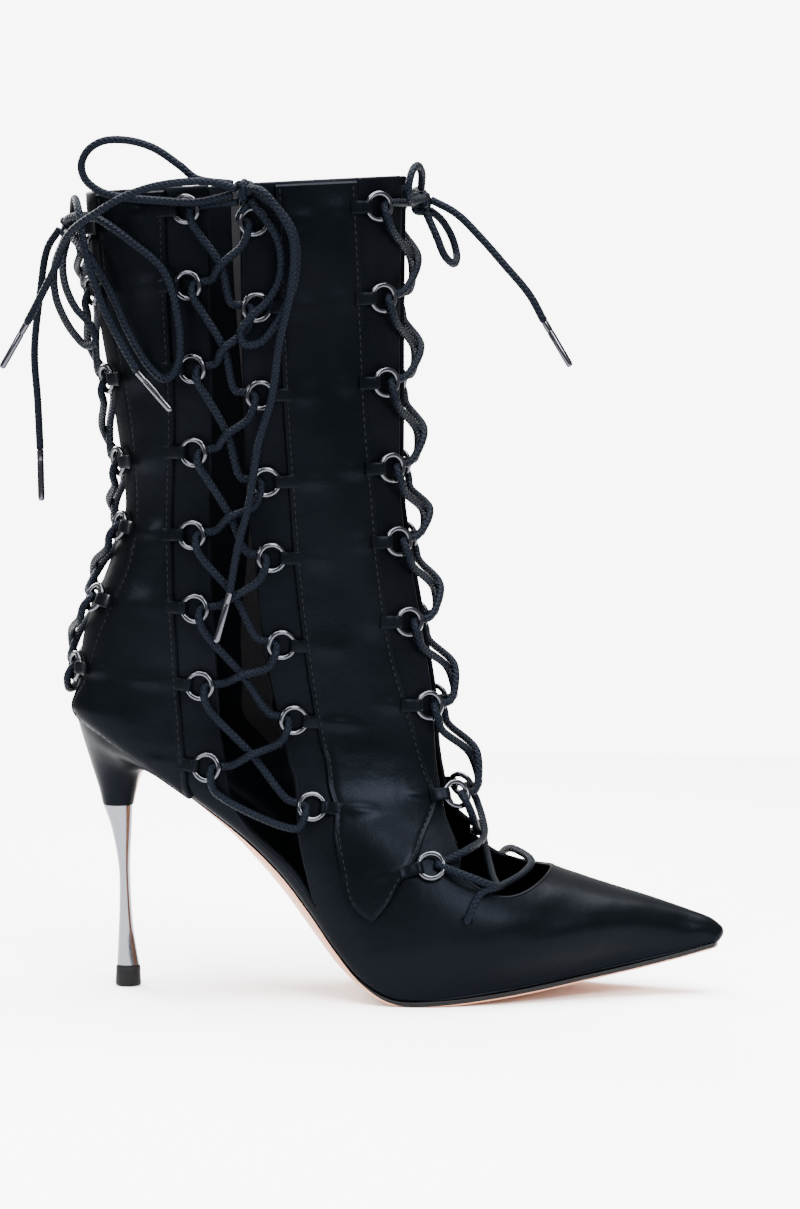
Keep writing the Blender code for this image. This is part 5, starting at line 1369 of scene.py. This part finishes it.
@dataclass
class Heel:
    """Stiletto heel: a leather covered block, a waisted chromed pin and a rubber top piece."""

    finishes: Finishes
    rows: np.ndarray = field(default_factory=lambda: np.array([
        [0, 0, 0, 0, .20, 0], [.14, .16, .05, .75, .27, .15], [.42, .40, .13, 1.70, .42, .40],
        [.66, .62, .28, 2.00, .62, .65], [.85, .82, .52, 1.75, .83, .85], [1, 1, 1, 1, 1, 1]]))
    pin_rows: np.ndarray = field(default_factory=lambda: np.array([
        [1, .94, .20, 1.10], [.85, .62, .16, .95], [.62, .36, .10, .80], [.42, .33, .13, .72],
        [.22, .37, .22, .74], [0, .44, .44, .88]]))

    def block(self) -> bpy.types.Object:
        """Rings that go from the pin's round top to the sloping seat, smooth between their rows."""
        x, z, feather, swing = Sole.floor(SEAT_ROW + np.array([
            0, .15, .3, .45, .6, .8, 1, 1.25, 1.5, 1.75, 2, 2.25, 2.5, 2.7, 2.85]))
        reach = feather + HEEL_COVER_MARGIN
        slope = (z[-1] - z[0]) / (x[-1] - x[0])
        along = (x - x[0]) / (x[-1] - x[0])
        bulge = z - z[0] - slope * (x - x[0])
        base, top = PIN_TOP + CLEARANCE, z[0] - CLEARANCE * 2
        pin_back, pin_front = -PIN_BACK_OFFSET, PIN_BACK_OFFSET * 0.25
        front_top = top + slope * (x[-1] - x[0])
        row = LAST.blend(self.rows, spaced(0, 5, 41))
        row[0, 5] = 0
        back = np.stack([pin_back + (x[0] - pin_back) * row[:, 0], base + (top - base) * row[:, 1]], -1)
        front = np.stack([pin_front + (x[-1] - pin_front) * row[:, 2],
                          base + (front_top - base) * row[:, 3]], -1)
        angles = spaced(0.12, np.pi - 0.12, len(along))
        like = np.clip(row[:, 5:6], 0, 1)
        share = (1 - np.cos(angles)) / 2 * (1 - like) + along * like
        width = np.sin(angles) * (1 - like) + reach / reach.max() * like
        middle = back[:, None] * (1 - share)[..., None] + front[:, None] * share[..., None]
        middle[..., 1] += bulge * like
        half = width * reach.max() * row[:, 4:5]
        centre = swing * like
        lateral = np.stack([middle[..., 0], centre - half, middle[..., 1]], -1)
        medial = np.stack([middle[..., 0], centre + half, middle[..., 1]], -1)
        ring = np.concatenate([lateral, medial[:, ::-1], lateral[:, :1]], 1)
        whole = capped(ring)
        count = len(along)
        patches = [Patch(whole[:, :count]), Patch(whole[:, count - 1:count + 1], slot=1),
                   Patch(whole[:, count:])]
        obj = make_piece("heel_cover", patches, [self.finishes.leather, self.finishes.nude], 50)
        return settle(obj, ("heel_block",))

    def pin(self) -> bpy.types.Object:
        """Waisted pin: ellipses whose back, front and depth follow the rows smoothly."""
        base = TOP_PIECE_HEIGHT + CLEARANCE
        row = LAST.blend(self.pin_rows, spaced(0, 5, 60))
        z = base + (PIN_TOP - base) * row[:, 0]
        back, front = -row[:, 1] * HEEL_TIP_DIAMETER, row[:, 2] * HEEL_TIP_DIAMETER
        turn = spaced(0, 2 * np.pi, 41)
        points = np.stack([(back + front)[:, None] / 2 + (front - back)[:, None] / 2 * np.cos(turn),
                           PIN_DEPTH * row[:, 3:4] / 2 * np.sin(turn),
                           np.broadcast_to(z[:, None], (60, 41))], -1)
        obj = make_piece("heel_pin_metal", [Patch(capped(points))], [self.finishes.chrome], 50)
        return settle(obj, ("heel_pin",))

    def tip(self) -> bpy.types.Object:
        """Rubber plug with softened edges, flat on the floor."""
        r, h = HEEL_TIP_DIAMETER / 2, TOP_PIECE_HEIGHT
        profile = np.array([[0, 0], [r * .9, 0], [r * .98, .0003], [r, .0008], [r * .965, h * .5],
                            [r * .94, h - .0004], [r * .88, h], [0, h]])
        obj = make_piece("heel_tip_rubber", [Patch(lathe(profile, 40))], [self.finishes.rubber], 45)
        return settle(obj, ("top_piece",))


@dataclass
class Zip:
    """Zip on the inner side: two tapes, their teeth, and the solid slider and pull re-dressed."""

    finishes: Finishes
    pitch: float = 0.0016
    tooth_length: float = 0.0022
    tooth_radius: float = 0.0005

    def line(self, places: np.ndarray, offset: np.ndarray, height: np.ndarray) -> np.ndarray:
        """Points beside the zip's middle line, by an offset in metres and a height."""
        low, top = LAST.ends(places)
        share = ZIP_LINE + offset / np.linalg.norm(top - low, axis=-1)
        return LAST.surface(places, share, 1.0, height)

    def build(self) -> None:
        """Tape with a low ridge where the teeth close, and interleaved teeth along it."""
        places = spaced(0.03, ZIP_END - 0.06, 160)[:, None]
        across = spaced(-1, 1, 15)[None]
        half = ZIP_SLIT / 2 + 0.0025
        top = self.line(places + across * 0, across * half, -0.0018 + 0.0008 * np.exp(-(across / .3) ** 4))
        base = self.line(places + across * 0, across * half, np.full(across.shape, -0.0027) + places * 0)
        tape = make_piece("zip_tape_woven", [plate_between(top, base)], [self.finishes.tape], 40)
        settle(tape, ("zip_tape",))
        dense = spaced(0.25, ZIP_END - 0.1, 600)
        travelled = travel(self.line(dense, dense * 0, dense * 0 - 0.0008))
        patches = []
        tooth = lathe(np.array([[0, -.5], [.9, -.4545], [1, 0], [.9, .4545], [0, .5]])
                      * [self.tooth_radius, self.tooth_length], 6)
        for number, sign in enumerate((-1.0, 1.0)):
            marks = np.arange(self.pitch * number / 2, travelled[-1], self.pitch)
            place = np.interp(marks, travelled, dense)
            spot, side = (self.line(place, np.full(len(place), sign * out), np.full(len(place), -0.0008))
                          for out in (0.0006, 0.0026))
            out = LAST.normal(place, np.full(len(place), ZIP_LINE), 1.0)
            patches += [Patch(placed(tooth, o, a)) for o, a in zip(spot, axes_along(unit(side - spot), out))]
        teeth = make_piece("zip_teeth", patches, [self.finishes.ring], 40)
        settle(teeth)
        for name in ("zip_slider", "zip_pull"):
            dress(name, self.finishes.ring)


def dress(name: str, material: bpy.types.Material) -> None:
    """Give a solid that stays in view a new material."""
    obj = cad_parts[name]
    for slot in obj.material_slots:
        slot.material = material


@dataclass
class Studio:
    """Pale floor, soft lights and the camera at the photograph's angle."""

    azimuth: float = 5.0
    elevation: float = 5.0
    distance: float = 1.75
    seen_height: float = 0.446
    sensor: float = 36.0
    target: tuple[float, float, float] = (0.1018, 0.0, 0.1432)
    lit: tuple[float, float, float] = (0.1, 0.0, 0.14)
    fill_light: float = 0.9
    backdrop: float = 8.0
    lamps: tuple[tuple[str, tuple[float, float, float], float, float], ...] = (
        ("key", (0.75, -1.15, 0.95), 0.5, 40.0), ("fill", (-0.85, -1.1, 0.75), 0.4, 18.0),
        ("top", (0.1, 0.0, 1.5), 1.6, 210.0), ("rim", (-0.9, 1.0, 0.8), 0.7, 40.0))

    def build(self) -> None:
        """Make the camera, the floor and the lights."""
        a, e = math.radians(self.azimuth), math.radians(self.elevation)
        back = Vector((math.sin(a) * math.cos(e), -math.cos(a) * math.cos(e), math.sin(e)))
        data = bpy.data.cameras.new("camera")
        data.sensor_fit = "AUTO"
        data.sensor_width = self.sensor
        data.lens = self.sensor * self.distance / self.seen_height
        camera = bpy.data.objects.new("camera", data)
        camera.location = Vector(self.target) + back * self.distance
        camera.rotation_euler = (-back).to_track_quat("-Z", "Y").to_euler()
        bpy.context.scene.collection.objects.link(camera)
        bpy.context.scene.camera = camera
        self.floor()
        world = bpy.data.worlds.new("studio")
        world.use_nodes = True
        tree = world.node_tree
        paths = add_node(tree, "LightPath")
        strength = add_node(tree, "MapRange", dict(zip(RANGE, (0.0, 1.0, self.fill_light, self.backdrop))),
                            {"Value": paths.outputs["Is Camera Ray"]})
        tree.links.new(strength.outputs["Result"], tree.nodes["Background"].inputs["Strength"])
        tree.nodes["Background"].inputs["Color"].default_value = (1, 1, 1, 1)
        bpy.context.scene.world = world
        for name, place, size, power in self.lamps:
            lamp = bpy.data.lights.new(name, "AREA")
            lamp.shape, lamp.size, lamp.energy = "SQUARE", size, power
            lamp_object = bpy.data.objects.new(name, lamp)
            lamp_object.location = place
            aim = Vector(self.lit) - Vector(place)
            lamp_object.rotation_euler = aim.to_track_quat("-Z", "Y").to_euler()
            bpy.context.scene.collection.objects.link(lamp_object)

    @staticmethod
    def floor() -> None:
        """Round sheet of pale matt paper under the boot."""
        disc = lathe(np.array([[0, -0.0002], [0.35, -0.0002], [0.75, -0.0002]]), 96)
        material, _, _ = start_material("pale_paper_floor",
                                        {"Base Color": linear("fbfbfb"), "Roughness": 0.9})
        make_piece("studio_floor", [Patch(disc + np.array([0.1, 0.0, 0.0]))], [material], 80)


BACK_RINGS = [.42, .97, 1.71, 2.48, 3.33, 4.55, 5.75]
SIDE_REAR_RINGS = [.28, .95, 1.63, 2.38, 3.43, 4.55, 5.85, 8.75]
SIDE_FRONT_RINGS = [.43, 1.16, 1.85, 2.70, 3.80, 4.96, 6.53, 9.90]
FRONT_RINGS = [.34, 1.12, 1.77, 2.59, 3.56, 4.60, 5.98, 8.98, 12.3]

# The bows, in millimetres: a route's first row, and a loop's last, point the way out of the knot
LEADS = {
    "side": ((45.5, -37.1, 290.0), (50.2, -38.0, 289.5)),
    "back": ((-15.3, 9.5, 281.5), (-15.3, -9.5, 281.5)),
    "front": ((101.8, -16.5, 289.9), (101.8, 16.5, 289.9)),
}
LOOPS = {
    "side_lace_rear_loop": [
        (43.6, -39.2, 298.3), (32.1, -40.2, 299.6), (26.0, -40.6, 304.3), (16.5, -40.8, 310.6),
        (7.0, -40.6, 313.3), (-2.0, -40.0, 313.0), (-7.6, -39.2, 309.6), (-10.0, -38.4, 304.6),
        (-8.8, -37.6, 299.5), (-3.7, -37.2, 295.2), (4.8, -37.6, 292.9), (16.9, -38.6, 291.8),
        (32.0, -39.4, 291.2), (43.4, -39.2, 293.4)],
    "side_lace_front_loop": [
        (54.6, -39.6, 294.4), (62.1, -40.4, 288.0), (67.2, -40.6, 279.9), (68.3, -40.6, 271.7),
        (67.2, -40.4, 262.1), (64.6, -40.2, 254.9), (59.6, -40.0, 246.0), (54.4, -39.9, 240.6),
        (49.4, -39.9, 240.2), (47.6, -39.9, 244.2), (51.0, -39.9, 249.5), (57.2, -39.9, 255.4),
        (61.4, -39.9, 262.5), (62.4, -39.9, 271.4), (60.4, -39.9, 279.4), (56.6, -39.9, 285.2),
        (53.8, -39.8, 288.6), (52.8, -40.0, 290.5)],
    "back_lace_outer_loop": [
        (-20.4, -8.4, 284.4), (-17.5, -17.5, 285.6), (-11.0, -25.0, 286.4), (-4.7, -29.8, 284.8),
        (8.3, -34.5, 276.3), (19.7, -37.4, 266.4), (24.9, -38.6, 249.3), (24.9, -38.0, 233.5),
        (20.3, -36.6, 227.3), (13.9, -34.4, 231.7), (5.9, -31.8, 244.4), (-0.6, -29.8, 258.1),
        (-8.5, -25.8, 270.5), (-15.5, -17.6, 277.0), (-20.2, -8.8, 279.6)],
    "back_lace_inner_loop": [
        (-22.6, -1.5, 276.6), (-25.6, -2.5, 268.0), (-25.0, -6.0, 257.5), (-20.8, -12.5, 249.0),
        (-15.6, -19.5, 242.8), (-10.4, -25.0, 239.0), (-6.6, -28.6, 240.8), (-8.4, -28.0, 246.4),
        (-14.6, -23.6, 252.6), (-19.6, -16.6, 261.0), (-21.4, -10.4, 269.6), (-20.6, -6.0, 276.0)],
    "front_lace_upper_loop": [
        (109.8, -2.6, 297.0), (110.4, -7.0, 301.6), (109.4, -13.6, 304.4), (107.8, -19.4, 302.0),
        (106.8, -21.4, 296.6), (107.2, -17.6, 291.8), (109.6, -12.0, 292.0), (111.0, -6.4, 293.2)],
    "front_lace_lower_loop": [
        (112.4, -3.4, 285.8), (115.8, -6.0, 278.5), (118.6, -6.2, 271.8), (121.6, -2.2, 268.6),
        (122.4, 3.4, 271.4), (120.6, 5.2, 278.0), (116.8, 3.4, 284.6), (113.6, 1.6, 287.4)],
}
ENDS = {
    "side_lace_rear_end": [
        (44.6, -42.2, 296.4), (37.9, -43.2, 298.4), (26.8, -43.8, 298.3), (15.4, -43.8, 296.4),
        (5.8, -43.0, 293.0), (-3.5, -41.5, 287.7), (-13.7, -37.0, 281.0), (-18.5, -32.0, 274.3),
        (-21.9, -28.0, 266.5), (-27.6, -25.0, 256.3), (-32.6, -23.4, 247.4), (-39.8, -22.4, 235.1)],
    "side_lace_front_end": [
        (52.0, -43.1, 296.5), (56.4, -45.2, 295.0), (66.2, -44.2, 281.0), (67.5, -44.2, 272.0),
        (66.5, -44.0, 261.0), (64.6, -43.6, 251.6), (62.1, -42.2, 241.5), (58.8, -39.6, 220.6),
        (54.0, -38.4, 204.7), (50.2, -37.6, 182.4), (46.2, -37.6, 166.6), (43.2, -37.2, 150.7),
        (37.3, -36.8, 128.8)],
    "back_lace_outer_end": [
        (-17.6, -6.4, 287.5), (-15.8, -17.6, 292.4), (-12.4, -29.6, 288.0), (-9.0, -34.4, 272.0),
        (-2.8, -35.4, 253.4), (4.7, -36.0, 238.8), (9.6, -36.8, 230.4), (19.2, -38.4, 219.7)],
    "back_lace_inner_end": [
        (-24.4, -2.0, 281.0), (-28.6, -1.0, 274.0), (-31.5, 0.0, 258.0), (-34.0, 1.0, 236.0),
        (-33.0, 1.5, 218.0), (-32.2, 1.5, 200.0), (-31.8, 1.5, 179.0)],
    "front_lace_outer_end": [
        (113.8, -1.6, 292.0), (122.6, -2.4, 287.0), (131.5, -3.4, 278.4), (140.4, -4.4, 268.4),
        (149.6, -5.4, 257.6), (155.0, -6.0, 248.0), (164.2, -7.0, 232.6)],
    "front_lace_inner_end": [
        (110.4, 4.6, 295.4), (106.6, 12.0, 295.2), (101.6, 20.0, 290.0), (96.8, 26.4, 281.0),
        (91.0, 31.0, 267.0), (86.6, 33.4, 252.0), (83.6, 34.6, 236.0), (82.0, 35.0, 219.0),
        (81.0, 34.6, 202.0)],
}
THROAT_EDGE = (128.8, 29.0, 56.2)
FRONT_BAR = [(131.2, -36.2, 47.0), (138.9, -32.0, 43.6), (137.0, -14.0, 45.0), (133.5, 6.0, 50.5),
             (131.0, 17.0, 58.0), (129.4, 24.5, 59.0), (128.0, 30.4, 56.0)]
VAMP_BAR = [(134.6, -35.8, 41.6), (139.5, -32.0, 43.0), (142.0, -22.0, 42.8), (148.0, -9.0, 45.0),
            (150.3, 5.0, 47.6), (146.0, 15.0, 49.4), (141.0, 23.5, 49.8), (137.4, 30.5, 46.8),
            (133.0, 36.4, 39.0)]


def lace_the_boot(finishes: Finishes) -> None:
    """Make the rings, the three laces and their bows.

    Args:
        finishes: the boot's materials.
    """
    knots = {
        "side": Knot("side_lace_knot", (49.0, -38.1, 295.5), (4.2, 3.0, 4.4), 1, finishes),
        "back": Knot("back_lace_knot", (-20.0, -3.0, 282.0), (3.4, 4.2, 4.6), 0, finishes),
        "front": Knot("front_lace_knot", (109.5, -0.5, 291.0), (3.4, 4.4, 4.8), 0, finishes),
    }
    for word, knot in knots.items():
        loops = {name: rows for name, rows in LOOPS.items() if name.startswith(word)}
        ends = {name: rows for name, rows in ENDS.items() if name.startswith(word)}
        Bow(knot, loops, ends, finishes).build()
    rows = {name: RingRow("rings_" + name, places, edge, side, forward, finishes)
            for name, places, edge, side, forward in (
                ("back_outer", BACK_RINGS, Edge.QUARTER_BACK, Side.LATERAL, -1),
                ("back_inner", BACK_RINGS, Edge.QUARTER_BACK, Side.MEDIAL, -1),
                ("front_outer", FRONT_RINGS, Edge.LEAF_FRONT, Side.LATERAL, 1),
                ("front_inner", FRONT_RINGS, Edge.LEAF_FRONT, Side.MEDIAL, 1),
                ("side_rear", SIDE_REAR_RINGS, Edge.QUARTER_FRONT, Side.LATERAL, 1),
                ("side_front", SIDE_FRONT_RINGS, Edge.LEAF_REAR, Side.LATERAL, -1))}
    for row in rows.values():
        row.build()
    lateral = tuple(np.array(THROAT_EDGE) * [1, -1, 1])
    Lacing("lace_back_crossings", rows["back_inner"], rows["back_outer"], -1, -1, 0.0020, LEADS["back"],
           knots["back"], finishes).build()
    Lacing("lace_side_crossings", rows["side_rear"], rows["side_front"], 1, -1, 0.0016, LEADS["side"],
           knots["side"], finishes).build()
    Lacing("lace_front_crossings", rows["front_outer"], rows["front_inner"], 1, 1, 0.0050, LEADS["front"],
           knots["front"], finishes, (lateral, THROAT_EDGE), FRONT_BAR[::-1], VAMP_BAR).build()


def main() -> None:
    """Build the boot's looks in order."""
    logging.basicConfig(level=logging.INFO, format="%(name)s %(message)s")
    finishes = Finishes()
    Studio().build()
    lace_the_boot(finishes)
    Upper(finishes).build()
    FoldedEdges(finishes).build()
    for word, side in (("outer", Side.LATERAL), ("inner", Side.MEDIAL)):
        laced = side is Side.LATERAL
        quarter = Overlay("quarter_" + word, side, Edge.QUARTER_BACK, Edge.QUARTER_FRONT, QUARTER_END,
                          finishes, BACK_RINGS, SIDE_REAR_RINGS if laced else [])
        leaf = Overlay("front_leaf_" + word, side, Edge.LEAF_REAR, Edge.LEAF_FRONT, LEAF_END - 0.3,
                       finishes, SIDE_FRONT_RINGS if laced else [], FRONT_RINGS, tail=0.5)
        for overlay in (quarter, leaf):
            overlay.build()
            overlay.stitches()
    sole = Sole(finishes)
    sole.build()
    sole.sock()
    heel = Heel(finishes)
    heel.block()
    heel.pin()
    heel.tip()
    Zip(finishes).build()


if __name__ == "__main__":
    main()
